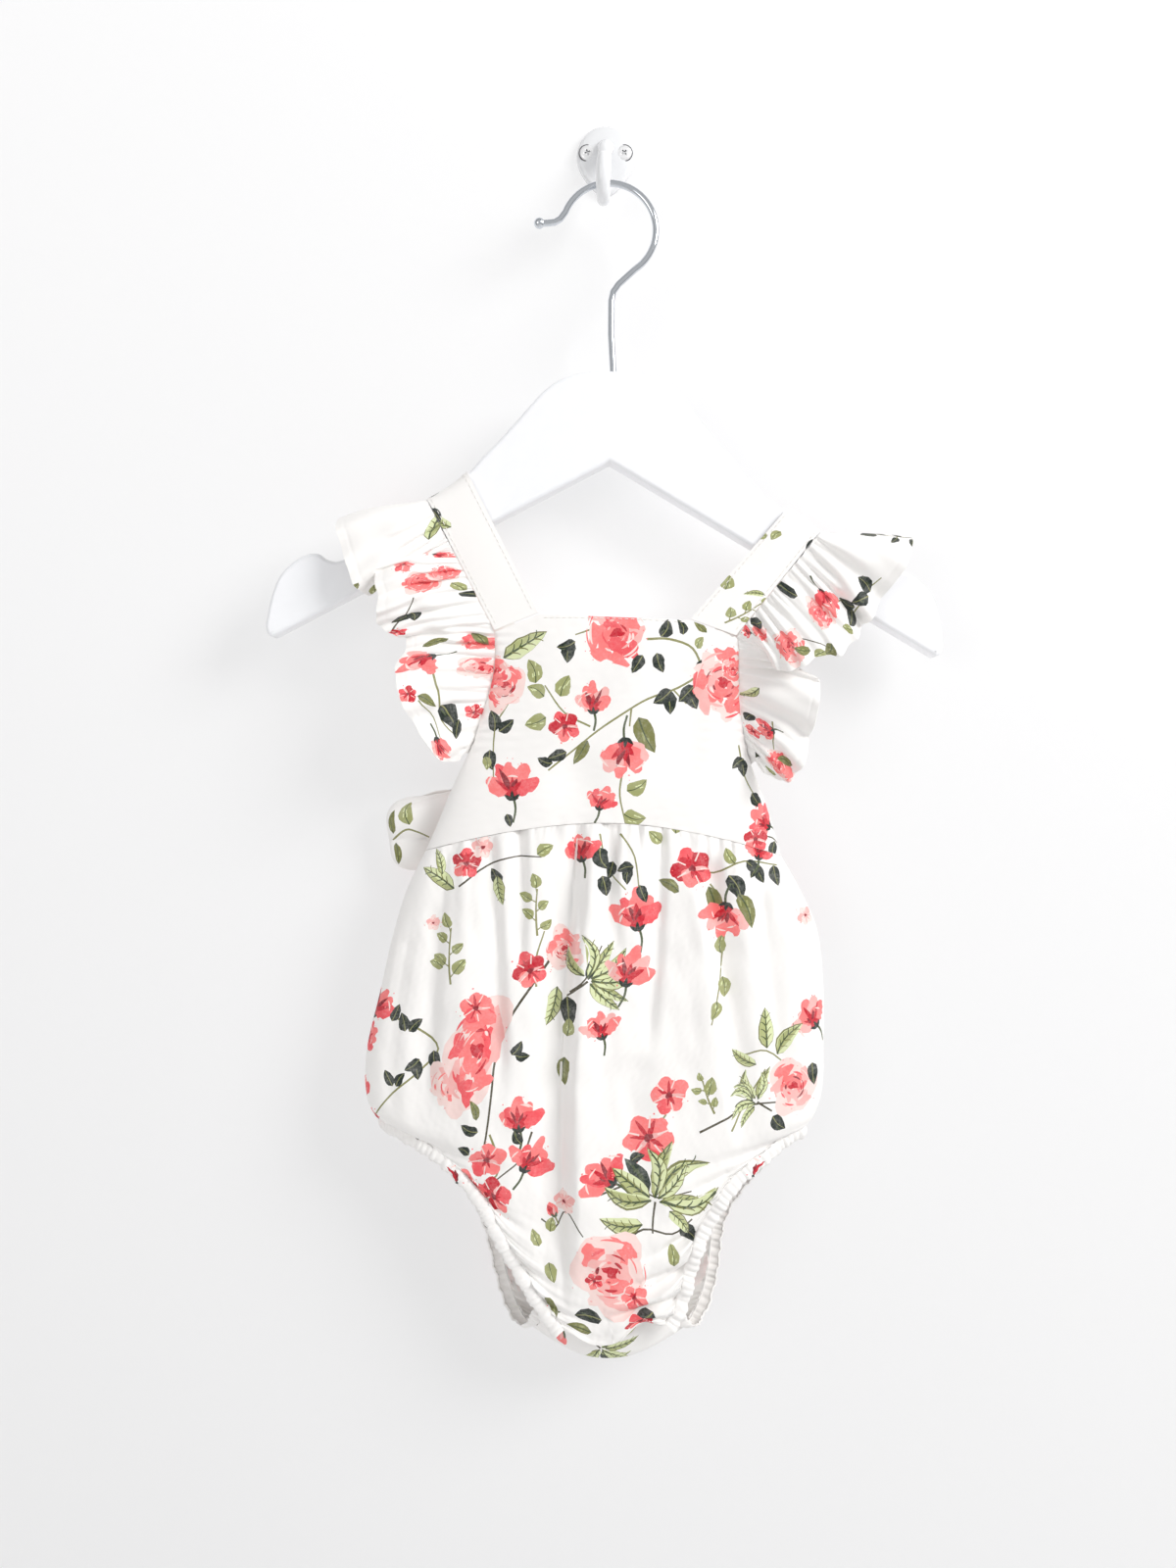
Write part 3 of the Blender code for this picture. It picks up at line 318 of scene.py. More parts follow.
def front_bodice_surface(u, v):
    x, out, drop, rise, across = panel("front_bodice", u, v, 1.8)
    drop = neck_line(x, drop, v)
    for place, low, wide, tall, height in BODICE_DENTS:
        out = out + height * np.exp(-((x - place) / wide) ** 2 - ((drop - low) / tall) ** 2)
    out = out + pleats(x, (1.0 - v) * 90.0, BODICE_PULLS) * rise
    to_side = (1.0 - np.abs(across)) * 52.0
    tug = np.exp(-to_side / 6.0) * (v < 0.62)
    out = out + 0.45 * tug * np.sin(drop * 1.35 + 1.3 * np.sin(drop * 0.31))
    out = out + 0.32 * waves(x, drop, 26.0, 3) * rise + 0.07 * waves(x, drop, 5.0, 4)
    return x, out, drop


def back_bodice_surface(u, v):
    x, out, drop, rise = panel("back_bodice", u, v, 1.8)[:4]
    out = out - pleats(x, (1.0 - v) * 40.0, BODICE_PULLS) * rise
    out = out + 0.25 * waves(x, drop, 24.0, 5) * rise
    return x, out, drop


def leg_gather(name, across, v, v_corner, seed):
    """Fine gathers along a leg edge, held by its elastic, dying out into the panel."""
    half = 0.5 * (read(DENSE[name], "right", v) - read(DENSE[name], "left", v))
    away = (1.0 - np.abs(across)) * half
    run = v * 330.0
    side = np.where(across < 0.0, 0.0, 2.1)
    wave = np.sin(run * 1.05 + side + 1.6 * np.sin(run * 0.17 + side + seed))
    slow = np.sin(run * 0.37 + side * 2.0 + 1.2 * np.sin(run * 0.09 + seed))
    on = np.clip((v - v_corner + 0.03) / 0.06, 0.0, 1.0)
    return on * (0.55 * wave * np.exp(-away / 4.5) + 0.85 * slow * np.exp(-away / 11.0))


def short_folds(rows, x, drop):
    """Troughs with a soft ridge below each, fading out at both ends."""
    total = np.zeros_like(x)
    for x_start, drop_start, x_end, drop_end, sag, width, depth in rows:
        run_x, run_drop = x_end - x_start, drop_end - drop_start
        length = math.hypot(run_x, run_drop)
        t = ((x - x_start) * run_x + (drop - drop_start) * run_drop) / length ** 2
        below = ((drop - drop_start) * run_x - (x - x_start) * run_drop) / length * math.copysign(1.0, run_x)
        below = below - sag * np.sin(math.pi * np.clip(t, 0.0, 1.0))
        fade = np.clip((t + 0.05) / 0.25, 0.0, 1.0) * np.clip((1.1 - t) / 0.5, 0.0, 1.0)
        trough = np.exp(-(below / width) ** 2)
        ridge = np.exp(-((below - 2.0 * width) / (1.3 * width)) ** 2)
        total = total + depth * fade ** 2 * (0.6 * ridge - trough)
    return total


def front_skirt_surface(u, v):
    x, out, drop, rise, across = panel("front_skirt", u, v, 1.8 + 0.6 * v, 0.40)
    soft = np.clip(rise * 1.25, 0.0, 1.0)
    out = out - fold_shift(SKIRT_FOLDS, x, drop) * soft
    to_seam = v * 232.0
    out = out + (pleats(x, to_seam, WAIST_PLEATS) + pleats(x, to_seam, WAIST_FINE)) * soft
    puff = 1.9 * bell(to_seam, 13.0, 12.0) * soft
    out = out + puff
    out = out + leg_gather("front_skirt", across, v, 0.43, 0.0)
    out = out + short_folds(CROTCH_FOLDS, x, drop)
    hem = np.clip((v - 0.86) / 0.14, 0.0, 1.0)
    lift = (9.5 * bell(x, 15.0, 9.0) + 2.5 * bell(x, -16.0, 6.0)) * hem ** 1.4
    out = out + hem ** 2 * (2.6 * bell(x, 14.0, 9.0) + 1.2 + 0.9 * np.sin(x * 0.33))
    out = out + (0.55 * waves(x, drop, 30.0, 21) + 0.22 * waves(x, drop, 11.0, 22)) * soft
    out = out + 0.05 * waves(x, drop, 4.0, 23)
    return x, out, drop - lift


def back_skirt_surface(u, v):
    x, out, drop, rise, across = panel("back_skirt", u, v, 1.8 + 0.4 * v, 0.30)
    soft = np.clip(rise * 1.25, 0.0, 1.0) * np.clip((0.86 - v) / 0.2, 0.0, 1.0)
    out = out + fold_shift(BACK_FOLDS, x, drop) * soft
    out = out - pleats(x, v * 260.0, BACK_PLEATS) * soft
    wave = leg_gather("back_skirt", across, v, 0.33, 1.0)
    turned_under = np.clip((v - 0.70) / 0.12, 0.0, 1.0)
    out = out - wave * (1.0 - turned_under)
    out = out + (0.5 * waves(x, drop, 30.0, 31) + 0.2 * waves(x, drop, 11.0, 32)) * soft
    return x, out, drop + 0.6 * wave * turned_under


def bar_height(along_bar):
    return np.interp(np.abs(along_bar), [a for a, h in BAR_TOP], [h for a, h in BAR_TOP])


def tilt_bar(along_bar, height):
    """The x and drop of a place on the bar, which hangs a little askew."""
    x = BAR_APEX_X + along_bar * math.cos(BAR_TILT) + height * math.sin(BAR_TILT)
    drop = BAR_APEX_DROP + along_bar * math.sin(BAR_TILT) - height * math.cos(BAR_TILT)
    return x, drop


def strap_surface(side, w, s):
    """w runs across the strap from its inner edge; s from the front, over the bar, to the back."""
    on_bar, front_in, front_out, back_in, back_out = STRAPS[side]
    on_bar = on_bar[0] + (on_bar[1] - on_bar[0]) * w
    top_x, top_drop = tilt_bar(on_bar, bar_height(on_bar) + STRAP_LIFT)
    foot_x, foot_drop = [a + (b - a) * w for a, b in zip(front_in, front_out)]
    back_x, back_drop = [a + (b - a) * w for a, b in zip(back_in, back_out)]
    reach = np.hypot(foot_x - top_x, foot_drop - top_drop)
    down_x = (foot_x - top_x) / reach
    down_z = (foot_drop - top_drop) / reach
    hub_x = top_x + STRAP_RADIUS * down_x
    hub_drop = top_drop + STRAP_RADIUS * down_z
    # In front: straight up from the bodice.
    t = np.clip(s / STRAP_FRONT, 0.0, 1.0)
    rising = STRAP_FOOT_OUT + (WIRE_OUT + STRAP_RADIUS - STRAP_FOOT_OUT) * np.minimum(1.0, t * 1.6)
    rising = rising + 0.5 * np.sin(math.pi * t) * np.sin(math.pi * w)
    front = foot_x + (hub_x - foot_x) * t, rising, foot_drop + (hub_drop - foot_drop) * t
    # Over the bar: half a rounded turn.
    turn = np.clip((s - STRAP_FRONT) / STRAP_OVER, 0.0, 1.0) * math.pi
    up = np.maximum(np.sin(turn), 0.0) ** 0.70
    fore = np.sign(np.cos(turn)) * np.abs(np.cos(turn)) ** 0.70
    over = (hub_x - STRAP_RADIUS * down_x * up, WIRE_OUT + STRAP_RADIUS * fore,
            hub_drop - STRAP_RADIUS * down_z * up)
    # Behind: a curve that leaves the bar in the strap's own line and ends on the back bodice.
    over_end = STRAP_FRONT + STRAP_OVER
    t = np.clip((s - over_end) / STRAP_BEHIND, 0.0, 1.0)
    length = back_drop - hub_drop
    slope = down_x / down_z * length * 0.8
    rear_x = hub_x * (2 * t ** 3 - 3 * t ** 2 + 1) + slope * (t ** 3 - 2 * t ** 2 + t)
    rear_x = rear_x + back_x * (-2 * t ** 3 + 3 * t ** 2)
    rear_out = WIRE_OUT - STRAP_RADIUS + (STRAP_END_OUT - WIRE_OUT + STRAP_RADIUS) * t * t
    rear = rear_x, rear_out, hub_drop + length * t
    return [np.where(s < STRAP_FRONT, a, np.where(s < over_end, b, c)) for a, b, c in zip(front, over, rear)]


def even_strap(v):
    """Spends more of the length on the turn over the bar, where the strap bends."""
    return np.interp(v, [0.0, 0.32, 0.62, 1.0], [0.004, STRAP_FRONT, STRAP_FRONT + STRAP_OVER, 0.998])


def ruffle_seam(side):
    """The line that a ruffle is sewn to: up the armhole, then along the strap's outer edge."""
    sign = -1.0 if side == "left" else 1.0
    line = []
    for k in range(25):
        v = np.array([0.60 * (1.0 - k / 24.0)])
        x, out, drop = front_bodice_surface(np.array([sign]), v)
        line.append((x[0] + sign * 0.7, out[0], drop[0]))
    for k in range(1, 81):
        s = 0.02 + 0.72 * k / 80.0
        here, near = [[float(c[0]) for c in strap_surface(side, np.array([w]), np.array([s]))]
                      for w in (1.0, 0.97)]
        if s > STRAP_FRONT + STRAP_OVER and here[2] > RUFFLE_BACK_END:
            break
        away = (Vector(here) - Vector(near)).normalized()
        line.append((here[0] + away.x * 0.45, here[1], here[2] + away.z * 0.45))
    points = np.array(line)
    run = run_along(points)
    return points, run / run[-1]


SEAMS = {side: ruffle_seam(side) for side in ("left", "right")}


def ruffle_surface(side, s, w):
    """s runs along the ruffle from the bodice to the back, w from its seam to its hem."""
    points, run = SEAMS[side]
    table = DENSE["ruffle_" + side]
    root = at_run(np.clip(read(table, "seam", s), 0.0, 1.0), run, points)
    tip = [read(table, name, s) for name in RUFFLE_COLUMNS[1:]]
    x, out, drop = [r + (t - r) * w ** 0.88 for r, t in zip(root, tip)]
    swell = 1.8 * np.sin(math.pi * w)
    facing = np.tanh((out - WIRE_OUT) / 4.0)
    seed = 1.0 if side == "left" else 4.0
    length = s * RUFFLE_LENGTH
    tight = np.sin(length * 1.25 + 1.7 * np.sin(length * 0.23 + seed))
    loose = np.sin(length * 0.62 + 1.9 * np.sin(length * 0.11 + seed * 2.0))
    flute = np.sin(length * 0.30 + 1.4 * np.sin(length * 0.071 + seed) + seed)
    fine = (0.42 + 0.22 * np.sin(length * 0.13 + seed)) * tight * np.exp(-w / 0.17)
    fine = fine * np.clip(w / 0.02, 0.0, 1.0)
    broad = (1.0 + 0.35 * np.sin(length * 0.09 + seed * 1.7)) * loose * bell(w, 0.28, 0.30)
    broad = broad + (1.6 + 0.9 * np.sin(length * 0.047 + seed)) * flute * w ** 1.1
    broad = broad + 0.7 * np.sin(length * 0.55 + seed * 3.0 + w) * w
    broad = broad + 0.8 * waves(length, w * RUFFLE_DEPTH, 17.0, int(seed) + 50, 5) * np.sin(math.pi * w)
    ends = np.clip(np.minimum(s, 1.0 - s) / 0.04, 0.0, 1.0)
    out = out + (swell + (fine + broad) * ends) * facing
    out = out - 0.15 * bell(w, 0.90, 0.02) * facing
    drop = drop - 0.8 * swell + 0.5 * broad * ends
    return x, out, drop


def grid_of(surface, us, vs):
    u, v = np.meshgrid(us, vs)
    x, out, drop = surface(u.ravel(), v.ravel())
    return np.stack([x, out, drop], axis=-1).reshape(len(vs), len(us), 3)


# ---------------------------------------------------------------------------
# Print: every motif is drawn from petals, leaves and stems, in millimetres
# ---------------------------------------------------------------------------
def srgb(*levels):
    """Linear colour of screen levels from 0 to 255."""
    shares = [level / 255.0 for level in levels]
    return tuple(c / 12.92 if c <= 0.04045 else ((c + 0.055) / 1.055) ** 2.4 for c in shares)


GROUND = srgb(251, 249, 247)
INK = {name: srgb(*levels) for name, levels in {
    "blush": (251, 222, 217), "pink": (248, 182, 178), "coral": (253, 125, 124), "rose": (243, 84, 92),
    "red": (202, 12, 40), "deep": (142, 8, 32), "sage": (160, 164, 106), "olive": (122, 124, 66),
    "pale": (220, 228, 178), "forest": (12, 30, 22), "fern": (22, 42, 30), "moss": (70, 84, 48),
    "lime": (180, 186, 126), "stem": (138, 138, 84), "bark": (72, 66, 44),
}.items()}


def turned(points, angle, x=0.0, y=0.0):
    c, s = math.cos(angle), math.sin(angle)
    return [(x + px * c - py * s, y + px * s + py * c) for px, py in points]


def turned_parts(parts, angle, x, y):
    return [(turned(points, angle, x, y), ink) for points, ink in parts]


def blob(x, y, rx, ry, dice, rough=0.12, count=16, lean=0.0):
    """An uneven round patch."""
    phase = [dice.uniform(0.0, math.tau) for _ in range(3)]
    points = []
    for k in range(count):
        t = math.tau * k / count
        slow, medium, fast = [math.sin(rate * t + start) for rate, start in zip((2, 3, 5), phase)]
        r = 1.0 + rough * (slow * 0.5 + medium + fast * 0.6)
        points.append((rx * r * math.cos(t), ry * r * math.sin(t)))
    return turned(points, lean, x, y)


def petal(length, width, dice, rough=0.10, count=7, notch=0.0):
    """A petal or leaf from its foot at 0, 0 upwards, with an uneven edge."""
    count = count + 3 if rough > 0.12 else count
    left, right = [], []
    for k in range(count + 1):
        t = k / count
        half = 0.5 * width * math.sin(math.pi * min(1.0, t ** 0.72)) ** 0.75 if 0 < t < 1 else 0.0
        reach = length * t - (notch * length if k == count else 0.0)
        left.append((-half * (1.0 + dice.uniform(-rough, rough)), reach))
        right.append((half * (1.0 + dice.uniform(-rough, rough)), reach))
    return left + list(reversed(right[1:-1]))


def crescent(x, y, radius, start, end, width, count=7):
    """A brush mark along an arc, thin at both ends."""
    outer, inner = [], []
    for k in range(count + 1):
        t = k / count
        a = start + (end - start) * t
        half = 0.5 * width * math.sin(math.pi * (0.06 + 0.88 * t)) ** 0.8
        outer.append((x + (radius + half) * math.cos(a), y + (radius + half) * math.sin(a)))
        inner.append((x + (radius - half) * math.cos(a), y + (radius - half) * math.sin(a)))
    return outer + list(reversed(inner))


def stroke(path, width, taper=0.5):
    """A painted line through a few points, thinner at its far end."""
    pts = np.array(path, float)
    t = np.linspace(0.0, 1.0, 4 * (len(pts) - 1) + 1)
    xs, ys = catmull(pts[:, 0], t), catmull(pts[:, 1], t)
    dx, dy = np.gradient(xs), np.gradient(ys)
    norm = np.hypot(dx, dy) + 1e-9
    half = 0.5 * width * (1.0 - taper * t)
    left = list(zip(xs - dy / norm * half, ys + dx / norm * half))
    right = list(zip(xs + dy / norm * half, ys - dx / norm * half))
    return left + list(reversed(right))


# Least and greatest width of each style of leaf, as a share of its length, and the ink of its flecks.
LEAF_WIDTH = {"sage": (0.62, 0.74), "olive": (0.40, 0.52), "forest": (0.56, 0.68), "fern": (0.28, 0.38),
              "pale": (0.34, 0.44), "frond": (0.24, 0.33)}
LEAF_FLECK = {"sage": "pale", "olive": "sage", "forest": "moss", "fern": "moss"}


def leaf(x, y, angle, length, style, dice):
    """Sage, olive, forest and fern leaves are nearly flat. Pale and frond leaves have a dark edge, ribs
    and a shaded half."""
    wide = length * dice.uniform(*LEAF_WIDTH[style])
    base = petal(length, wide, dice, 0.09, 7)
    bow = dice.uniform(-0.14, 0.14) * (2.0 if style == "frond" else 1.0)
    base = [(px + bow * length * math.sin(math.pi * max(0.0, min(1.0, py / length))), py) for px, py in base]
    mid = [(bow * length * math.sin(math.pi * t), length * t) for t in (0.02, 0.3, 0.6, 0.93)]
    vein = stroke(mid, 0.05 * length)
    if style in LEAF_FLECK:
        parts = [(base, INK[style])]
        for _ in range(4 if style == "sage" else 3):
            t = dice.uniform(0.25, 0.8)
            px = bow * length * math.sin(math.pi * t) + dice.uniform(-0.22, 0.22) * wide
            fleck = [(px, length * (t - 0.08)), (px + 0.03 * length, length * (t + 0.08))]
            parts.append((stroke(fleck, 0.055 * length, 0.3), INK[LEAF_FLECK[style]]))
        parts.append((vein, INK["stem" if style == "forest" else "moss"]))
        return turned_parts(parts, angle, x, y)
    inner = [(px * 0.90 + 0.012 * length, length * 0.03 + py * 0.94) for px, py in base]
    shaded = [(px * 0.80, length * 0.06 + py * 0.88) for px, py in base if px < bow * py]
    parts = [(base, INK["olive"]), (inner, INK["pale"]), (mid[:1] + shaded + mid[-1:], INK["lime"]),
             (vein, INK["moss"])]
    for k in range(4):
        t = 0.2 + 0.17 * k
        px = bow * length * math.sin(math.pi * t)
        for way in (-1.0, 1.0):
            rib = stroke([(px, length * t), (px + way * wide * 0.18, length * (t + 0.09)),
                          (px + way * wide * 0.34, length * (t + 0.13))], 0.030 * length)
            parts.append((rib, INK["olive" if way > 0.0 else "moss"]))
    return turned_parts(parts, angle, x, y)


def sprig(x, y, angle, length, count, style, dice, bend, leaf_size):
    """A stem with leaves by turns left and right and one at its tip."""
    path = [(bend * length * t * t * 0.5, length * t) for t in (0.0, 0.25, 0.5, 0.75, 1.0)]
    parts = [(turned(stroke(path, 0.95, 0.45), angle, x, y), INK["bark" if style == "forest" else "stem"])]
    for k in range(count):
        t = (k + 0.6) / count
        way = -1.0 if k % 2 else 1.0
        spread = way * dice.uniform(0.7, 1.1) if k < count - 1 else dice.uniform(-0.2, 0.2)
        size = leaf_size * dice.uniform(0.8, 1.15)
        knee = turned([(bend * length * t * t * 0.5, length * t)], angle, x, y)[0]
        foot = turned([(0.0, size * 0.28)], angle - spread, *knee)[0]
        parts.append((stroke([knee, foot], 0.6, 0.2), INK["stem"]))
        parts += leaf(*foot, angle - spread, size, style, dice)
    return parts


def spoke(k, count, slack, dice):
    """Direction of one of the petals round a flower."""
    return math.tau * (k + dice.uniform(-slack, slack)) / count


def speckles(x, y, reach, ink, count, dice):
    parts = []
    for _ in range(count):
        a, r = dice.uniform(0.0, math.tau), reach * dice.uniform(0.5, 1.0)
        size = dice.uniform(0.22, 0.5)
        dot = blob(x + r * math.cos(a), y + r * math.sin(a), size, size * 0.8, dice, 0.2, 5)
        parts.append((dot, INK[ink]))
    return parts


def big_rose(x, y, angle, size, dice, tone):
    """Full painted rose: ragged blush skirts, petals with pale broken edges, a streaked red heart."""
    r = size * 0.5
    strong = tone == "mixed"
    outer = ["coral", "pink", "coral", "rose"] if strong else ["blush", "pink", "blush", "coral"]
    inner = ["coral", "rose", "coral"] if strong else ["coral", "pink"]
    parts = [(blob(0, 0, r * 0.90, r * 1.05, dice, 0.16, 30), INK["blush"])]
    for k in range(8):
        a = spoke(k, 8, 0.2, dice)
        cx, cy = 0.60 * r * math.cos(a), 0.70 * r * math.sin(a)
        ink = dice.choice(outer)
        rx, ry = r * dice.uniform(0.26, 0.38), r * dice.uniform(0.20, 0.30)
        parts.append((blob(cx, cy, rx, ry, dice, 0.26, 18, a + 1.2), INK[ink]))
    for k in range(6):
        a = spoke(k, 6, 0.3, dice)
        cx, cy = 0.28 * r * math.cos(a), 0.32 * r * math.sin(a)
        ink = dice.choice(inner)
        parts.append((blob(cx, cy, r * 0.28, r * 0.19, dice, 0.24, 14, a + 0.8), INK[ink]))
    for _ in range(16):
        a, reach = dice.uniform(0.0, math.tau), r * dice.uniform(0.20, 0.92)
        ink = dice.choice(["blush", "blush", "pink", "rose", "coral"])
        mark = crescent(0, 0, reach, a, a + dice.uniform(0.3, 0.9), r * dice.uniform(0.03, 0.085))
        parts.append((mark, INK[ink]))
    parts.append((blob(0.02 * r, 0.05 * r, r * 0.19, r * 0.14, dice, 0.25, 12), INK["red"]))
    for _ in range(7):
        a = dice.uniform(0.0, math.tau)
        reach = r * dice.uniform(0.14, 0.5)
        mark = crescent(0, 0, reach, a, a + dice.uniform(0.4, 1.0), r * dice.uniform(0.035, 0.08))
        parts.append((mark, INK[dice.choice(["red", "red", "deep", "rose"])]))
    parts += speckles(0, 0, r * 1.1, "coral" if strong else "pink", 14, dice)
    return turned_parts(parts, angle, x, y)


OPEN_FLOWER_INKS = {"coral": ("coral", "coral", "rose"), "red": ("rose", "red", "coral"),
                    "blush": ("blush", "pink", "blush")}


def open_flower(x, y, angle, size, dice, tone, petals=5):
    r = size * 0.5
    parts = []
    for k in range(petals):
        a = spoke(k, petals, 0.14, dice)
        shape = petal(r * dice.uniform(0.92, 1.15), r * dice.uniform(0.82, 1.02), dice, 0.2, 6, 0.06)
        parts.append((turned(shape, a), INK[OPEN_FLOWER_INKS[tone][k % 3]]))
    for k in range(petals + 2):
        a = spoke(k, petals + 2, 0.2, dice)
        streak = petal(r * dice.uniform(0.4, 0.85), r * dice.uniform(0.10, 0.22), dice, 0.15, 4)
        parts.append((turned(streak, a), INK["pink" if tone == "blush" or k % 3 == 2 else "red"]))
    for k in range(petals):
        a = math.tau * (k + 0.5) / petals + dice.uniform(-0.15, 0.15)
        gap = [(share * r * math.sin(a), share * r * math.cos(a)) for share in (0.35, 0.8)]
        parts.append((stroke(gap, r * 0.07, 0.2), INK["blush"]))
    parts.append((blob(0, 0, r * 0.17, r * 0.15, dice, 0.2, 9), INK["deep"]))
    parts += speckles(0, 0, r * 1.15, "coral" if tone != "blush" else "pink", 8, dice)
    return turned_parts(parts, angle, x, y)


SIDE_FLOWER_INKS = {"red": ("coral", "rose", "coral", "coral", "rose"),
                    "coral": ("pink", "coral", "coral", "pink", "coral")}


def side_flower(x, y, angle, size, dice, tone):
    """A flower seen from the side: splayed ragged petals over a dark green cup and stalk."""
    stalk = stroke([(0, -size * 0.66), (size * 0.05, -size * 0.4), (0, -size * 0.1)], 0.9, -0.2)
    parts = [(stalk, INK["moss"])]
    for k, lean in enumerate((-1.02, -0.50, 0.05, 0.55, 1.08)):
        reach = size * dice.uniform(0.52, 0.68) * (1.15 if k == 2 else 1.0)
        shape = petal(reach, size * dice.uniform(0.26, 0.38), dice, 0.24, 6, 0.08)
        shape = turned(shape, -lean + dice.uniform(-0.12, 0.12), 0, -size * 0.12)
        parts.append((shape, INK[SIDE_FLOWER_INKS[tone][k]]))
    for k in range(5):
        lean = -0.8 + 0.4 * k + dice.uniform(-0.1, 0.1)
        streak = petal(size * dice.uniform(0.22, 0.5), size * dice.uniform(0.07, 0.13), dice, 0.15, 4)
        parts.append((turned(streak, -lean, 0, -size * 0.1), INK["red" if k % 2 == 0 else "deep"]))
    for _ in range(3):
        a = dice.uniform(0.2, 2.9)
        mark = crescent(0, -size * 0.1, size * dice.uniform(0.28, 0.48), a, a + 0.5, size * 0.035)
        parts.append((mark, INK["blush"]))
    parts.append((blob(0, -size * 0.14, size * 0.13, size * 0.11, dice, 0.15, 8), INK["red"]))
    parts += speckles(0, size * 0.12, size * 0.42, "coral", 9, dice)
    for a in (-0.9, 0.0, 0.9):
        sepal = petal(size * 0.19, size * 0.075, dice, 0.05, 4)
        parts.append((turned(sepal, -a, 0, -size * 0.26), INK["forest"]))
    return turned_parts(parts, angle, x, y)


# A bud's petals and sepals: length, width, roughness, points, turn and foot, then the ink.
BUD_PETALS = [(1, 0.72, 0.1, 6, 0, -0.2, "coral"), (0.85, 0.36, 0.1, 5, 0.22, -0.15, "red"),
              (0.6, 0.16, 0.1, 4, -0.3, -0.1, "pink"), (0.4, 0.16, 0.05, 4, -0.6, -0.25, "moss"),
              (0.4, 0.16, 0.05, 4, 0.6, -0.25, "moss")]


def bud(x, y, angle, size, dice):
    parts = [(stroke([(0, -size * 0.7), (0, -size * 0.2)], 0.7, 0.0), INK["stem"])]
    for long, wide, rough, count, lean, foot, ink in BUD_PETALS:
        shape = petal(size * long, size * wide, dice, rough, count)
        parts.append((turned(shape, lean, 0, size * foot), INK[ink]))
    return turned_parts(parts, angle, x, y)


def leaf_fan(x, y, angle, size, dice, count=9):
    """Long pale leaves spread from one foot, with one dark one among them."""
    parts = []
    for k in range(count):
        a = angle - 1.5 + 3.0 * k / (count - 1) + dice.uniform(-0.12, 0.12)
        length = size * dice.uniform(0.46, 0.70) * (0.75 if k == 6 else 1.0)
        foot = turned([(0.0, size * dice.uniform(0.02, 0.12))], a, x, y)[0]
        parts += leaf(*foot, a, length, "fern" if k == 6 else "frond", dice)
    parts.append((stroke([(x, y), turned([(0.0, -size * 0.35)], angle, x, y)[0]], 1.0, 0.3), INK["bark"]))
    return parts


def twig(x, y, angle, length):
    main = [(0, 0), (length * 0.12, length * 0.35), (-length * 0.04, length * 0.7), (length * 0.06, length)]
    parts = [(turned(stroke(main, 1.0, 0.4), angle, x, y), INK["bark"])]
    for way, t in ((1.0, 0.3), (-1.0, 0.55), (1.0, 0.8)):
        knee = turned([(length * 0.05, length * t)], angle, x, y)[0]
        branch = [(0, 0), (way * length * 0.10, length * 0.12), (way * length * 0.14, length * 0.2)]
        parts.append((turned(stroke(branch, 0.6, 0.5), angle, *knee), INK["stem"]))
    return parts


FLOWERS = {
    "rose": (big_rose, "mixed"), "blush_rose": (big_rose, "pale"), "flower": (open_flower, "coral"),
    "red_flower": (open_flower, "red"), "blush_flower": (open_flower, "blush"),
    "side_red": (side_flower, "red"), "side_coral": (side_flower, "coral"),
}
# Leaves on each sprig, its bend, and the size of a leaf as a share of its length.
SPRIGS = {"sage_sprig": (5, 0.3, 0.30), "forest_sprig": (6, 0.4, 0.27), "olive_sprig": (4, -0.3, 0.34)}


def draw(kind, x, y, angle, size, seed):
    """One motif at flat place x, y (y upwards), turned by degrees."""
    dice = random.Random(seed * 7 + len(kind))
    a = math.radians(angle)
    style = kind.split("_")[-1] if kind.startswith("leaf") else kind.split("_")[0]
    if kind in FLOWERS:
        flower, tone = FLOWERS[kind]
        return flower(x, y, a, size, dice, tone)
    if kind in SPRIGS:
        count, bend, share = SPRIGS[kind]
        return sprig(x, y, a, size, count, style, dice, bend, size * share)
    if kind == "tall_rose":
        rose = big_rose(0.0, 0.0, 0.0, size, dice, "mixed")
        squeezed = [([(px * 0.62, py * 1.12) for px, py in shape], ink) for shape, ink in rose]
        return turned_parts(squeezed, a, x, y)
    if kind == "forest_pair":
        return leaf(x, y, a, size, style, dice) + leaf(x + size * 0.2, y, a - 1.1, size * 0.9, style, dice)
    if kind == "twig":
        return twig(x, y, a, size)
    if kind in ("bud", "fan"):
        return (bud if kind == "bud" else leaf_fan)(x, y, a, size, dice)
    return leaf(x, y, a, size, style, dice)


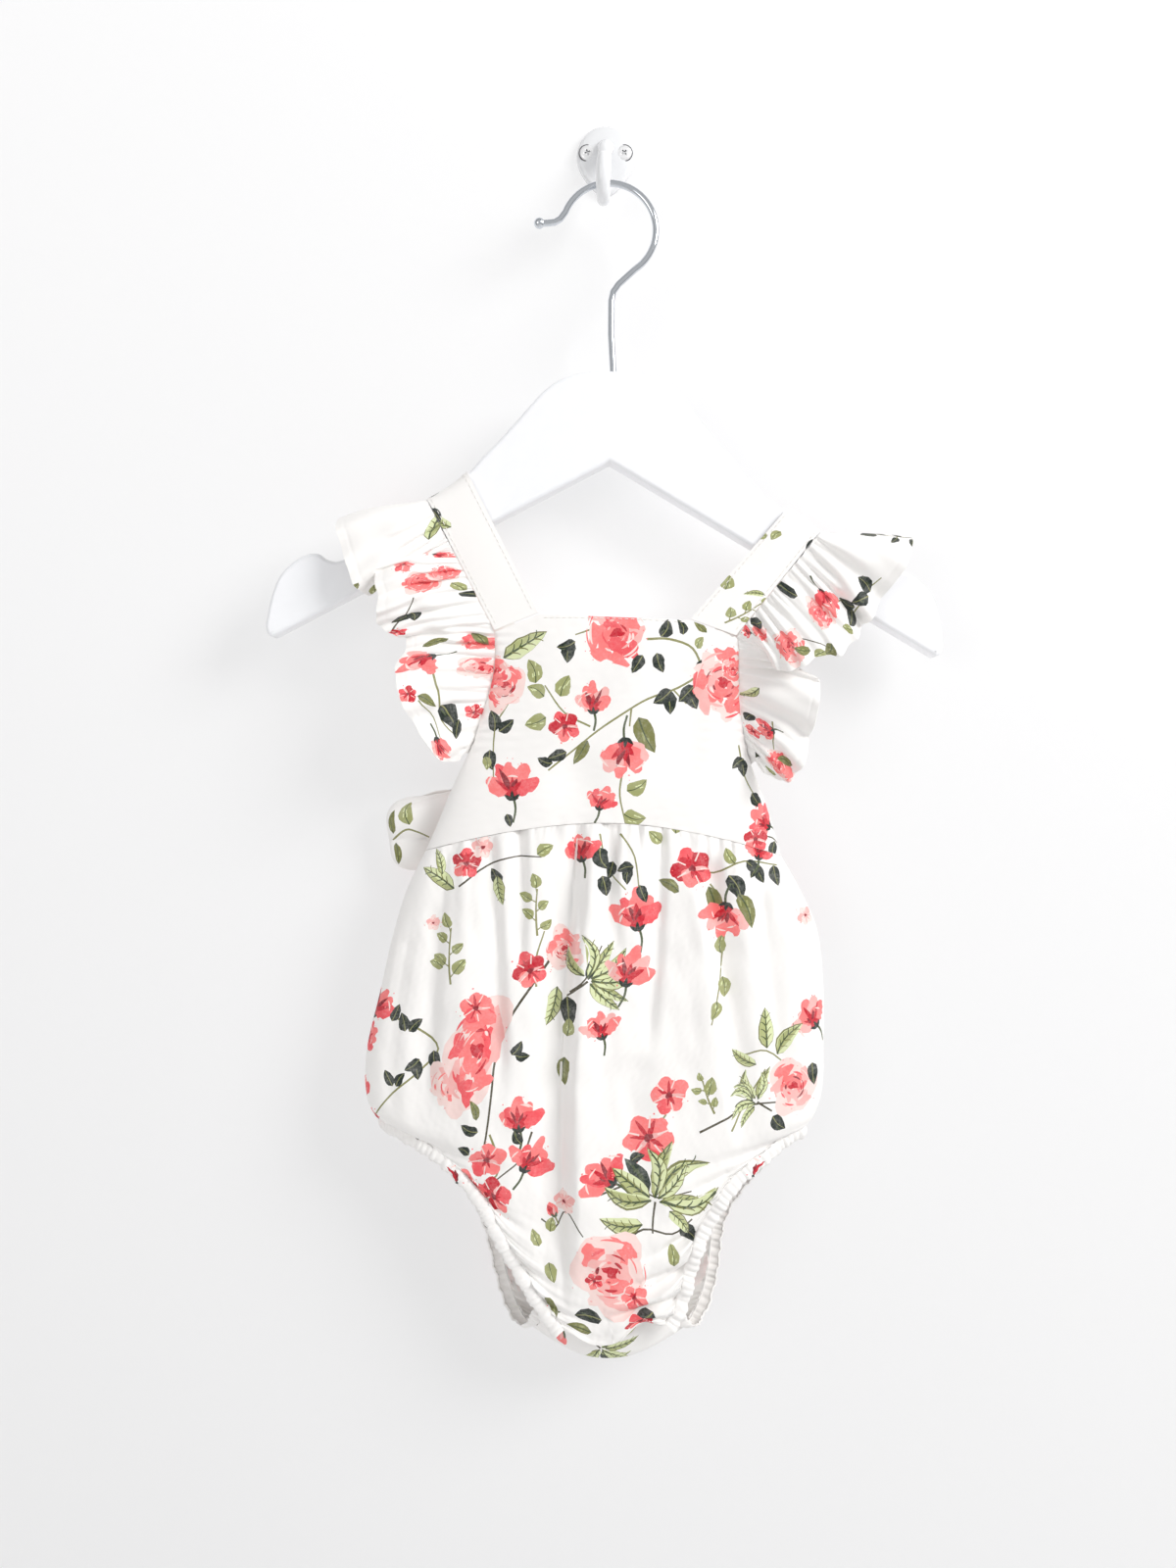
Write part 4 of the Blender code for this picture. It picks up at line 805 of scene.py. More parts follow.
# Where the print falls on each cut piece: kind, across, drop, turn in degrees, size.
SKIRT_PRINT = [
    ("sage_sprig", -66, 373, 12, 24), ("leaf_sage", -70, 366, 70, 7), ("side_red", -101, 384, -30, 22),
    ("side_red", -104, 398, -60, 15), ("forest_pair", -84, 394, 20, 8.5), ("forest_pair", -78, 406, 190, 9),
    ("leaf_forest", -91, 390, -20, 8), ("leaf_forest", -70, 402, 200, 9), ("forest_pair", -88, 418, 30, 8),
    ("side_red", -106, 421, 20, 15), ("red_flower", -101, 434, 0, 12), ("blush_rose", -61, 417, 15, 21),
    ("tall_rose", -52, 402, -12, 41), ("flower", -54, 383, 10, 15), ("forest_pair", -36, 403, -30, 7),
    ("leaf_forest", -49, 436, 70, 8), ("leaf_olive", -50, 431, 20, 9), ("red_flower", -32, 367, 30, 17),
    ("blush_rose", -18, 358, 0, 17), ("sage_sprig", -30, 352, 8, 20), ("fan", -7, 371, -50, 30),
    ("leaf_pale", -20, 374, 170, 17), ("leaf_forest", -15, 378, 192, 13), ("side_red", 12.5, 344, 8, 23),
    ("side_coral", 10, 368, -12, 22), ("side_coral", 1, 392, 12, 17), ("leaf_olive", -13, 404, 184, 12),
    ("leaf_sage", -13, 395, 0, 8), ("red_flower", 37, 323, 20, 19), ("leaf_olive", 31, 333, 60, 10),
    ("leaf_olive", 44, 331, 195, 17), ("leaf_forest", 53, 326, 205, 12), ("leaf_forest", 61, 320, 240, 8),
    ("forest_pair", 66, 322, 200, 8), ("leaf_forest", 74, 322, 190, 9), ("leaf_sage", 56, 321, 30, 8),
    ("side_coral", 51, 343, 168, 21), ("leaf_olive", 57, 334, 200, 16), ("leaf_sage", 50, 360, 0, 8),
    ("leaf_sage", 51, 370, 190, 9), ("leaf_sage", 49, 380, 170, 8), ("side_coral", 94, 389, 40, 20),
    ("leaf_pale", 74, 401, 10, 18), ("leaf_pale", 79, 404, -38, 17), ("leaf_pale", 70, 408, 60, 13),
    ("fan", 71, 424, 60, 22), ("blush_rose", 87, 418, 0, 23), ("leaf_forest", 96, 408, 190, 10),
    ("sage_sprig", 52, 428, 30, 15), ("leaf_forest", 78, 430, 230, 9), ("flower", 32, 420, 10, 18),
    ("leaf_sage", 49, 420, -10, 8), ("flower", 24, 438, 40, 23), ("side_red", 7.5, 455, 55, 22),
    ("leaf_forest", 17, 449, -60, 7), ("side_red", -32, 431, 6, 20), ("flower", -44, 448, 0, 17),
    ("side_red", -26, 449, -25, 20), ("red_flower", -42, 464, 60, 19), ("flower", -57, 460, -30, 16),
    ("leaf_forest", -30, 441, 30, 7), ("leaf_forest", -52, 446, 60, 6), ("fan", 30, 466, -10, 40),
    ("leaf_pale", 24, 476, 78, 19), ("leaf_pale", 20, 486, 100, 18), ("leaf_forest", 40, 476, 230, 12),
    ("leaf_pale", 36, 470, 215, 14), ("blush_flower", -9, 466, 0, 10), ("bud", -14, 472, 20, 7),
    ("leaf_sage", -24, 486, 10, 8), ("leaf_sage", -20, 493, 190, 9), ("leaf_sage", -17, 480, -20, 7),
    ("blush_rose", 7, 497, 0, 35), ("flower", 16, 508, 20, 12), ("red_flower", 0, 500, 20, 8),
    ("leaf_sage", 36, 494, 10, 9), ("leaf_sage", 42, 500, 170, 9), ("leaf_forest", -16, 514, 100, 12),
    ("leaf_olive", -26, 508, 200, 11), ("leaf_forest", 0, 518, 80, 12), ("leaf_forest", 22, 516, 120, 11),
    ("red_flower", 15, 524, 10, 14), ("leaf_olive", -6, 524, 80, 12), ("flower", -28, 520, 0, 12),
    ("leaf_olive", 24, 526, -70, 11), ("side_red", -11, 316, 10, 17), ("leaf_forest", -3, 314, 200, 10),
    ("leaf_forest", 3, 320, 160, 8), ("leaf_forest", -2, 326, 190, 9), ("forest_pair", 10, 322, 170, 8),
    ("leaf_forest", 14, 330, 200, 8), ("leaf_pale", -66, 332, 60, 18), ("leaf_pale", -72, 326, 20, 12),
    ("red_flower", -61, 321, 0, 14), ("leaf_forest", -46, 330, 30, 8), ("leaf_pale", -47, 326, 190, 13),
    ("leaf_sage", -30, 317, -60, 8), ("blush_flower", -54, 314, 0, 11), ("leaf_sage", 24, 312, 50, 8),
    ("leaf_sage", 30, 308, -10, 7), ("side_red", 68, 316, -20, 15), ("blush_flower", 88, 344, 30, 9),
    ("blush_flower", -76, 347, 0, 7),
]
# Stems: ink, width, places along them.
SKIRT_STEMS = [
    ("bark", 1.2, [(-20, 356), (-30, 372), (-39, 388), (-43, 405), (-44, 420), (-46, 444)]),
    ("stem", 1.1, [(-100, 384), (-90, 388), (-78, 393), (-68, 401), (-76, 411), (-88, 421), (-99, 433)]),
    ("stem", 0.9, [(-44, 437), (-38, 452), (-46, 462), (-56, 468)]),
    ("bark", 0.9, [(-26, 436), (-30, 448), (-40, 458)]), ("stem", 0.9, [(-29, 374), (-30, 362), (-27, 350)]),
    ("stem", 0.9, [(37, 323), (47, 325), (60, 320), (76, 322)]), ("stem", 0.8, [(45, 330), (50, 336)]),
    ("stem", 0.8, [(51, 352), (50, 370), (48, 390)]),
    ("bark", 1, [(46, 436), (58, 430), (70, 425), (84, 424)]),
    ("stem", 0.9, [(60, 436), (66, 424), (74, 410)]),
    ("bark", 0.9, [(6, 462), (20, 458), (30, 464), (46, 462)]),
    ("stem", 0.8, [(31, 428), (26, 436), (20, 448)]),
    ("bark", 1, [(14, 484), (24, 478), (36, 480), (46, 474)]),
    ("bark", 0.8, [(-20, 474), (-14, 478), (-8, 470), (-2, 480)]),
    ("bark", 1, [(-26, 512), (-10, 520), (6, 522), (26, 520)]),
    ("bark", 0.8, [(-64, 331), (-52, 322), (-40, 318), (-28, 318)]),
    ("stem", 0.8, [(-3, 308), (0, 322), (8, 332)]), ("stem", 0.8, [(6, 308), (12, 318), (14, 334)]),
    ("bark", 0.8, [(-14, 376), (-8, 370), (-2, 356)]), ("stem", 0.8, [(64, 404), (74, 402), (88, 412)]),
]
BODICE_PRINT = [
    ("rose", 3, 222, 0, 29), ("forest_pair", -17, 225, 170, 9.5), ("leaf_forest", 14, 231, 150, 9),
    ("leaf_forest", 20, 230, 200, 9), ("leaf_forest", 22, 223, -30, 9), ("leaf_forest", 32, 222, 10, 7),
    ("forest_pair", 25, 246, 190, 11), ("forest_pair", 35, 244, 200, 11), ("leaf_forest", 37, 236, -80, 8),
    ("leaf_sage", 38, 228, -30, 6), ("leaf_sage", -32, 243, 20, 11), ("leaf_sage", -21, 249, -20, 10),
    ("leaf_sage", -27, 258, 110, 10), ("leaf_sage", -28, 249, 60, 9), ("side_coral", -6.5, 252, 0, 18),
    ("red_flower", -19, 262, 20, 14), ("leaf_forest", -18, 273, 110, 9), ("leaf_olive", -9, 268, 150, 12),
    ("leaf_olive", 13, 258, 205, 17), ("side_coral", 7, 273, 176, 24), ("leaf_forest", -24, 278, 70, 7),
    ("leaf_sage", 8, 290, -60, 10), ("leaf_sage", 7, 300, -100, 10), ("blush_rose", 50, 243, 0, 34),
    ("rose", 54, 237, 0, 11), ("side_red", -42, 288, 4, 24), ("leaf_forest", -44, 300, 200, 6),
    ("side_red", -3, 295, -14, 14), ("leaf_forest", 8, 304, 200, 7), ("leaf_pale", -47, 232, -60, 23),
    ("blush_rose", -46, 244, 0, 20), ("rose", -51, 238, 30, 14), ("forest_pair", -50, 264, 10, 9.5),
    ("leaf_forest", -52, 272, 190, 9), ("leaf_sage", -54, 275, 190, 6), ("leaf_olive", 43, 221, 30, 9),
    ("leaf_sage", 51, 217, -40, 9), ("forest_pair", 59, 276, 190, 8), ("leaf_forest", 64, 291, 220, 8),
    ("side_red", 70, 304, 60, 17), ("red_flower", 66, 311, 0, 12), ("leaf_forest", 76, 312, 170, 8),
]
BODICE_STEMS = [
   
    ("stem", 1.1, [(16, 224), (26, 224), (36, 228), (39, 238), (30, 245), (17, 250), (7, 256), (-5, 264),
                   (-16, 273), (-26, 281)]),
    ("stem", 0.9, [(10, 254), (9, 262)]), ("stem", 0.9, [(-8, 262), (-19, 256), (-28, 244)]),
    ("stem", 0.8, [(-6, 219), (-15, 222)]), ("stem", 0.9, [(6, 282), (5, 292), (8, 304)]),
    ("stem", 0.8, [(28, 246), (34, 252)]), ("stem", 0.8, [(-44, 252), (-50, 264), (-50, 284)]),
    ("stem", 0.8, [(58, 270), (61, 284), (68, 296)]), ("bark", 0.8, [(62, 314), (72, 310), (80, 314)]),
]
# On a ruffle, "across" runs along its seam from the bodice up and over to the back.
RUFFLE_LEFT_PRINT = [
    ("side_coral", 68, 27, 150, 23), ("leaf_olive", 80, 30, -30, 14), ("rose", 84, 6, 0, 15),
    ("leaf_olive", 92, 8, 60, 12), ("blush_rose", 62, 4, 0, 17), ("leaf_forest", 40, 20, 70, 15),
    ("leaf_forest", 30, 12, 120, 11), ("side_coral", 22, 31, 100, 15), ("red_flower", 34, 4, 0, 10),
    ("red_flower", 48, 34, 0, 9), ("leaf_olive", 46, 30, 40, 10), ("rose", 144, 18, 20, 17),
    ("rose", 150, 7, 0, 13), ("forest_pair", 118, 24, 160, 10), ("leaf_forest", 131, 5, 40, 10),
    ("red_flower", 104, 36, 0, 10), ("flower", 160, 24, 0, 11), ("leaf_sage", 140, 6, 60, 8),
    ("side_red", 180, 32, 100, 12), ("leaf_sage", 204, 33, 120, 8), ("leaf_olive", 212, 36, 150, 7),
    ("blush_flower", 192, 13, 0, 13), ("blush_flower", 180, 17, 0, 9), ("leaf_sage", 184, 21, 80, 7),
    ("leaf_pale", 206, 5, -60, 16), ("side_red", 172, 6, 30, 12),
]
RUFFLE_LEFT_STEMS = [
    ("stem", 1, [(58, 22), (44, 20), (32, 22), (22, 16)]), ("bark", 0.8, [(108, 36), (120, 26), (134, 22)]),
    ("stem", 0.7, [(176, 24), (186, 18), (196, 10)]), ("stem", 0.8, [(44, 30), (34, 26), (24, 28)]),
]
RUFFLE_RIGHT_PRINT = [
    ("rose", 36, 28, 20, 20), ("side_red", 52, 14, 30, 15), ("leaf_olive", 44, 34, 30, 11),
    ("leaf_sage", 26, 34, 60, 9), ("leaf_forest", 24, 14, 100, 10), ("leaf_forest", 58, 6, 60, 9),
    ("flower", 44, 6, 0, 10), ("leaf_pale", 78, 8, 40, 12), ("rose", 142, 10, 0, 15),
    ("rose", 158, 26, 30, 20), ("side_red", 130, 5, 40, 12), ("leaf_forest", 150, 6, 70, 12),
    ("leaf_olive", 168, 34, 50, 10), ("side_red", 203, 17, 160, 17), ("rose", 190, 20, 20, 15),
    ("leaf_forest", 186, 8, 30, 12), ("forest_pair", 214, 30, 100, 10), ("forest_pair", 224, 32, 60, 9),
    ("leaf_olive", 184, 32, 120, 11), ("leaf_sage", 176, 36, 100, 8), ("leaf_sage", 204, 34, 60, 7),
]
RUFFLE_RIGHT_STEMS = [
    ("stem", 0.9, [(60, 16), (48, 18), (36, 24)]), ("stem", 0.8, [(196, 14), (204, 20), (214, 26)]),
    ("bark", 0.9, [(150, 20), (166, 26), (180, 34)]), ("stem", 0.7, [(208, 34), (220, 30), (232, 32)]),
]
BOW_PRINT = [
    ("leaf_olive", 0, 81, 85, 8), ("leaf_olive", 3, 80.5, -100, 8.5), ("leaf_sage", -2.5, 73, 100, 9.5),
    ("sage_sprig", 8, 40, 60, 16), ("red_flower", -6, 50, 0, 9), ("leaf_sage", 12, 60, 20, 8),
]
BOW_STEMS = [("stem", 0.7, [(2, 82), (-1, 75), (0, 70), (2, 65)])]
REPEAT_KINDS = [
    ("rose", 27), ("forest_sprig", 22), ("side_red", 18), ("sage_sprig", 22), ("flower", 17), ("fan", 24),
    ("red_flower", 14), ("olive_sprig", 18), ("blush_rose", 28), ("side_coral", 16), ("forest_pair", 9),
    ("bud", 10), ("twig", 24), ("leaf_pale", 16),
]


def repeat_print(low_a, high_a, low_b, high_b, seed, step=26.0):
    """The same cloth's half-drop repeat over a piece whose print shows no known place."""
    dice = random.Random(seed)
    chart = []
    col = 0
    a = low_a - step * 0.3
    while a < high_a + step * 0.5:
        b = low_b - step * (0.5 if col % 2 else 0.0)
        while b < high_b + step * 0.5:
            kind, size = dice.choice(REPEAT_KINDS)
            place = a + dice.uniform(-4, 4), b + dice.uniform(-4, 4)
            chart.append((kind, *place, dice.uniform(-70, 70), size))
            b += step
        col += 1
        a += step * 0.86
    return chart


def ink_parts(chart, seed, stems=()):
    """Outline and ink of everything on a chart, in the order in which it is painted."""
    parts = [(np.array(stroke(path, width, 0.35)), INK[ink]) for ink, width, path in stems]
    for k, (kind, across, drop, turn, size) in enumerate(chart):
        for points, ink in draw(kind, across, -drop, turn, size, seed + k):
            parts.append((np.array([(px, -py) for px, py in points]), ink))
    return parts


# ---------------------------------------------------------------------------
# Cutting the print into a piece and giving the piece its thickness
# ---------------------------------------------------------------------------
CELLS = 96          # cells of the grid that carries the print, each way
SEARCH_STEPS = 14   # steps of the search for a place on it
FOUND_WITHIN = 0.5  # mm by which the place found may miss
TORN_OVER = 60      # a motif that spans more cells than this was torn apart
MERGE_WITHIN = 1e-4
NUDGE = 0.0015      # share of a surface by which its slope is measured


def bilinear(grid, pu, pv):
    """Values of a grid between its points, and how they change across and down."""
    rows, cols = grid.shape[:2]
    i = np.clip(np.floor(pu).astype(int), 0, cols - 2)
    j = np.clip(np.floor(pv).astype(int), 0, rows - 2)
    fu, fv = (pu - i)[:, None], (pv - j)[:, None]
    a, b = grid[j, i], grid[j, i + 1]
    c, d = grid[j + 1, i], grid[j + 1, i + 1]
    value = a * (1 - fu) * (1 - fv) + b * fu * (1 - fv) + c * (1 - fu) * fv + d * fu * fv
    du = (b - a) * (1 - fv) + (d - c) * fv
    dv = (c - a) * (1 - fu) + (d - b) * fu
    return value, du, dv


def flat_to_grid(grid, points):
    """Finds where flat places lie on a piece's own grid, and which of them were found."""
    rows, cols = grid.shape[:2]
    js, cs = np.meshgrid(np.arange(0, rows, max(1, rows // 24)), np.arange(0, cols, max(1, cols // 24)),
                         indexing="ij")
    js, cs = js.ravel(), cs.ravel()
    start = np.argmin(((points[:, None, :] - grid[js, cs][None]) ** 2).sum(-1), axis=1)
    pu, pv = cs[start].astype(float), js[start].astype(float)
    for _ in range(SEARCH_STEPS):
        value, du, dv = bilinear(grid, pu, pv)
        miss = points - value
        det = du[:, 0] * dv[:, 1] - du[:, 1] * dv[:, 0]
        det = np.where(np.abs(det) < 1e-9, 1e-9, det)
        step_u = np.clip((miss[:, 0] * dv[:, 1] - miss[:, 1] * dv[:, 0]) / det, -6.0, 6.0)
        step_v = np.clip((miss[:, 1] * du[:, 0] - miss[:, 0] * du[:, 1]) / det, -6.0, 6.0)
        pu = np.clip(pu + step_u, -cols, 2.0 * cols)
        pv = np.clip(pv + step_v, -rows, 2.0 * rows)
    value = bilinear(grid, pu, pv)[0]
    good = np.abs(points - value).max(axis=1) < FOUND_WITHIN
    return pu, pv, good


def inside_polygon(px, py, outline):
    """Whether each place lies inside an outline."""
    hit = np.zeros(len(px), bool)
    for (a, b), (c, d) in zip(outline, np.roll(outline, -1, axis=0)):
        if b != d:
            hit ^= ((b > py) != (d > py)) & (px < (c - a) * (py - b) / (d - b) + a)
    return hit


def ink_over(points, outlines):
    """The ink at each place: that of the last outline round it, or bare cloth."""
    inks = np.tile(np.array(GROUND), (len(points), 1))
    order = np.argsort(points[:, 0])
    across = points[order, 0]
    for outline, ink in outlines:
        low, high = outline.min(axis=0), outline.max(axis=0)
        some = order[np.searchsorted(across, low[0]):np.searchsorted(across, high[0])]
        some = some[(points[some, 1] >= low[1]) & (points[some, 1] <= high[1])]
        if len(some):
            hit = inside_polygon(points[some, 0], points[some, 1], outline)
            inks[some[hit]] = ink
    return inks


def triangulate(places, edges, size):
    """Triangles inside the piece's rectangle, all turned one way, and where each given place went."""
    cut = delaunay_2d_cdt([Vector(p) for p in places], edges, [], 0, MERGE_WITHIN, True)
    found = np.array([(p.x, p.y) for p in cut[0]])
    faces = np.array([f for f in cut[2] if len(f) == 3], int)
    middle = found[faces].mean(axis=1)
    faces = faces[(middle > 0.0).all(axis=1) & (middle < size).all(axis=1)]
    a, b, c = found[faces[:, 0]], found[faces[:, 1]], found[faces[:, 2]]
    area = 0.5 * ((b[:, 0] - a[:, 0]) * (c[:, 1] - a[:, 1]) - (b[:, 1] - a[:, 1]) * (c[:, 0] - a[:, 0]))
    faces = np.where(area[:, None] < 0.0, faces[:, ::-1], faces)[np.abs(area) > 1e-7]
    went = {source: k for k, sources in enumerate(cut[3]) for source in sources}
    return found, faces, went


def outlines_on(flat, u_low, parts, size):
    """The print's outlines moved from the flat cloth to the piece's own rectangle."""
    mu, mv = np.meshgrid(np.linspace(u_low, 1.0, CELLS + 1), np.linspace(0.0, 1.0, CELLS + 1))
    grid = np.stack(flat(mu.ravel(), mv.ravel()), axis=-1).reshape(CELLS + 1, CELLS + 1, 2)
    pu, pv, good = flat_to_grid(grid, np.concatenate([points for points, ink in parts]))
    outlines = []
    at = 0
    for points, ink in parts:
        a, b, ok = (part[at:at + len(points)] for part in (pu, pv, good))
        at += len(points)
        outside = a.max() < 0 or a.min() > CELLS or b.max() < 0 or b.min() > CELLS
        torn = a.max() - a.min() > TORN_OVER or b.max() - b.min() > TORN_OVER
        if ok.all() and not outside and not torn:
            outlines.append((np.stack([a, b], axis=-1) * size / CELLS, ink))
    return outlines


def lattice(size, across, down):
    """Evenly placed points over a rectangle, row by row."""
    rows, columns = np.linspace(0.0, size[1], down + 1), np.linspace(0.0, size[0], across + 1)
    return [(a, b) for b in rows for a in columns]


def cut_piece(flat, u_low, net, parts, size, back_pitch):
    """Cuts the print side into triangles along its print, and the wrong side into a plainer net
    that shares its border. Gives u and v, faces, inks and border edges of each."""
    across, down = net
    outlines = outlines_on(flat, u_low, parts, size)
    verts = lattice(size, across, down)
    w = across + 1
    edges = []
    for i in range(across):
        edges += [(i, i + 1), (down * w + i, down * w + i + 1)]
    for j in range(down):
        edges += [(j * w, (j + 1) * w), (j * w + across, (j + 1) * w + across)]
    for outline, ink in outlines:
        first, n = len(verts), len(outline)
        verts.extend((float(a), float(b)) for a, b in outline)
        edges.extend((first + k, first + (k + 1) % n) for k in range(n))
    places, faces, went = triangulate(verts, edges, size)
    inks = ink_over(places[faces].mean(axis=1), outlines)
    used, flatten = np.unique(faces.ravel(), return_inverse=True)
    places = np.clip(places[used], 0.0, size)
    faces = flatten.reshape(-1, 3)

    # The border: edges with a triangle on one side only.
    directed = np.concatenate([faces[:, [0, 1]], faces[:, [1, 2]], faces[:, [2, 0]]])
    ends = np.sort(directed, axis=1)
    keys = ends[:, 0].astype(np.int64) * len(places) + ends[:, 1]
    first, counts = np.unique(keys, return_index=True, return_counts=True)[1:]
    rim = directed[first[counts == 1]]
    on_border = ((places < 1e-3) | (places > size - 1e-3)).any(axis=1)
    rim = rim[on_border[rim].all(axis=1)]

    border = np.unique(rim.ravel())
    spot = {int(k): n for n, k in enumerate(border)}
    back_across, back_down = (min(full, max(full // 2, int(reach / back_pitch)))
                              for full, reach in zip((across, down), size))
    middle = [(a, b) for a, b in lattice(size, back_across, back_down)
              if 0.0 < a < size[0] and 0.0 < b < size[1]]
    sewn = [(spot[int(i)], spot[int(j)]) for i, j in rim]
    back_places, back_faces, went = triangulate([tuple(p) for p in places[border]] + middle, sewn, size)
    back_places = np.clip(back_places, 0.0, size)
    back_inks = ink_over(back_places, outlines)
    back_rim = np.array([(went[i], went[j]) for i, j in sewn])

    low, reach = np.array([u_low, 0.0]), np.array([1.0 - u_low, 1.0])
    front = low + reach * places / size, faces, inks, rim
    return front, (low + reach * back_places / size, back_faces, back_inks, back_rim)


def skin(surface, uv, u_low):
    """Places and unit normals of a surface, x to the right, y into the wall, z up."""
    def at(u, v):
        x, out, drop = surface(u, v)
        return np.stack([x, -out, -drop], axis=-1)

    u, v = uv[:, 0], uv[:, 1]
    du = NUDGE * (1.0 - u_low)
    along_u = at(np.minimum(u + du, 1.0), v) - at(np.maximum(u - du, u_low), v)
    along_v = at(u, np.minimum(v + NUDGE, 1.0)) - at(u, np.maximum(v - NUDGE, 0.0))
    return at(u, v), unit(np.cross(along_u, along_v))


def sew(name, surface, flat, u_low, net, size, parts, cottons, flip=False, wall=CLOTH_WALL, back_pitch=1.8):
    """Builds one piece: print side, wrong side and edges, as a closed thin shell. u runs from u_low to 1
    across it and v from 0 to 1 down it; flip turns its print side over."""
    size = np.array(size, float)
    front_cut, back_cut = cut_piece(flat, u_low, net, parts, size, back_pitch)
    uv, faces, inks, rim = front_cut
    back_uv, back_faces, back_inks, back_rim = back_cut
    middle, normal = skin(surface, uv, u_low)
    back_middle, back_normal = skin(surface, back_uv, u_low)
    if flip:
        normal, back_normal = -normal, -back_normal
    n = len(middle)
    # The triangles turn the way that the piece's own normals point.
    p = middle[faces]
    turn = np.cross(p[:, 1] - p[:, 0], p[:, 2] - p[:, 0])
    if (turn * normal[faces[:, 0]]).sum() < 0:
        faces, rim, back_rim = faces[:, ::-1], rim[:, ::-1], back_rim[:, ::-1]
    else:
        back_faces = back_faces[:, ::-1]
    verts = np.concatenate([middle + normal * wall * 0.5, back_middle - back_normal * wall * 0.5]) * MM
    rim_a = np.stack([rim[:, 0], back_rim[:, 0] + n, back_rim[:, 1] + n], axis=-1)
    rim_b = np.stack([rim[:, 0], back_rim[:, 1] + n, rim[:, 1]], axis=-1)
    tris = np.concatenate([faces, back_faces + n, rim_a, rim_b])
    count, front_end, back_end = len(tris), len(faces), len(faces) + len(back_faces)
    mesh = bpy.data.meshes.new("cloth_" + name)
    mesh.vertices.add(len(verts))
    mesh.vertices.foreach_set("co", verts.astype(np.float32).ravel())
    mesh.loops.add(count * 3)
    mesh.loops.foreach_set("vertex_index", tris.astype(np.int32).ravel())
    mesh.polygons.add(count)
    mesh.polygons.foreach_set("loop_start", np.arange(0, count * 3, 3, dtype=np.int32))
    mesh.polygons.foreach_set("loop_total", np.full(count, 3, dtype=np.int32))
    which = np.zeros(count, np.int32)
    which[front_end:back_end] = 1
    mesh.polygons.foreach_set("material_index", which)
    mesh.update(calc_edges=True)
    # Print colour on each corner; the wrong side carries a faint ghost of it.
    white = np.array(GROUND)
    ghost = white * 0.86 + back_inks[back_faces.ravel()] * 0.14
    edge_ink = np.tile(white * 0.97, (len(rim) * 6, 1))
    layer = mesh.color_attributes.new("print", "FLOAT_COLOR", "CORNER")
    rgba = np.ones((count * 3, 4), np.float32)
    rgba[:, :3] = np.concatenate([np.repeat(inks, 3, axis=0), ghost, edge_ink])
    layer.data.foreach_set("color", rgba.ravel())
    every = np.concatenate([uv, back_uv])
    lay_out(mesh, tris, slice(front_end * 3, back_end * 3), *flat(every[:, 0], every[:, 1]))
    mesh.polygons.foreach_set("use_smooth", np.ones(count, bool))
    loop_normals = np.concatenate([normal, -back_normal])[tris.ravel()]
    edge = verts[tris[back_end:]]
    facing = unit(np.cross(edge[:, 1] - edge[:, 0], edge[:, 2] - edge[:, 0]))
    loop_normals[back_end * 3:] = np.repeat(facing, 3, axis=0)
    mesh.normals_split_custom_set(loop_normals.tolist())
    return add_object("cloth_" + name, mesh, *cottons)


def add_object(name, data, *materials):
    thing = bpy.data.objects.new(name, data)
    bpy.context.scene.collection.objects.link(thing)
    for material in materials:
        data.materials.append(material)
    return thing


def lay_out(mesh, tris, wrong_side, across, down):
    """UV maps: "OFBake" packs print side and wrong side in one square, "Weave" is the cloth in metres."""
    base = tris.ravel()
    rear = np.zeros(len(base), bool)
    rear[wrong_side] = True
    spans = [max(lay.max() - lay.min(), 1e-6) for lay in (across, down)]
    shares = [(lay - lay.min()) / reach for lay, reach in zip((across, down), spans)]
    halved = 0 if spans[1] > spans[0] else 1
    bake = np.empty((len(base), 2), np.float32)
    bake[:, halved] = 0.01 + 0.48 * shares[halved][base] + np.where(rear, 0.5, 0.0)
    bake[:, 1 - halved] = 0.01 + 0.98 * shares[1 - halved][base]
    cloth = np.stack([across[base], down[base]], axis=-1).astype(np.float32) * MM
    for name, values in (("OFBake", bake), ("Weave", cloth)):
        mesh.uv_layers.new(name=name).data.foreach_set("uv", values.ravel())


# ---------------------------------------------------------------------------
# Materials
# ---------------------------------------------------------------------------
def feed(tree, made, inputs):
    """Gives a shader node's inputs plain values or other nodes' outputs."""
    for name, value in inputs.items():
        if isinstance(value, bpy.types.NodeSocket):
            tree.links.new(value, made.inputs[name])
        else:
            made.inputs[name].default_value = value


def node(tree, kind, inputs, **settings):
    made = tree.nodes.new("ShaderNode" + kind)
    for name, value in settings.items():
        setattr(made, name, value)
    feed(tree, made, inputs)
    return made


def calc(tree, operation, *values):
    return node(tree, "Math", dict(enumerate(values)), operation=operation).outputs["Value"]


def noise(tree, place, scale, detail, rough=0.5):
    inputs = {"Vector": place, "Scale": scale, "Detail": detail, "Roughness": rough}
    return node(tree, "TexNoise", inputs).outputs["Fac"]


def spread(tree, value, low, high, to_low, to_high, way="LINEAR"):
    """Moves a value from one range to another."""
    inputs = {"Value": value, "From Min": low, "From Max": high, "To Min": to_low, "To Max": to_high}
    return node(tree, "MapRange", inputs, interpolation_type=way).outputs["Result"]


def mixed(tree, blend, share, first, second):
    """Mixes two colours; sockets 6 and 7 of the node are its colour inputs, and 2 its colour output."""
    inputs = {"Factor": share, 6: first, 7: second}
    return node(tree, "Mix", inputs, data_type="RGBA", blend_type=blend).outputs[2]


def relief(tree, height, strength, distance):
    inputs = {"Strength": strength, "Distance": distance, "Height": height}
    return node(tree, "Bump", inputs).outputs["Normal"]


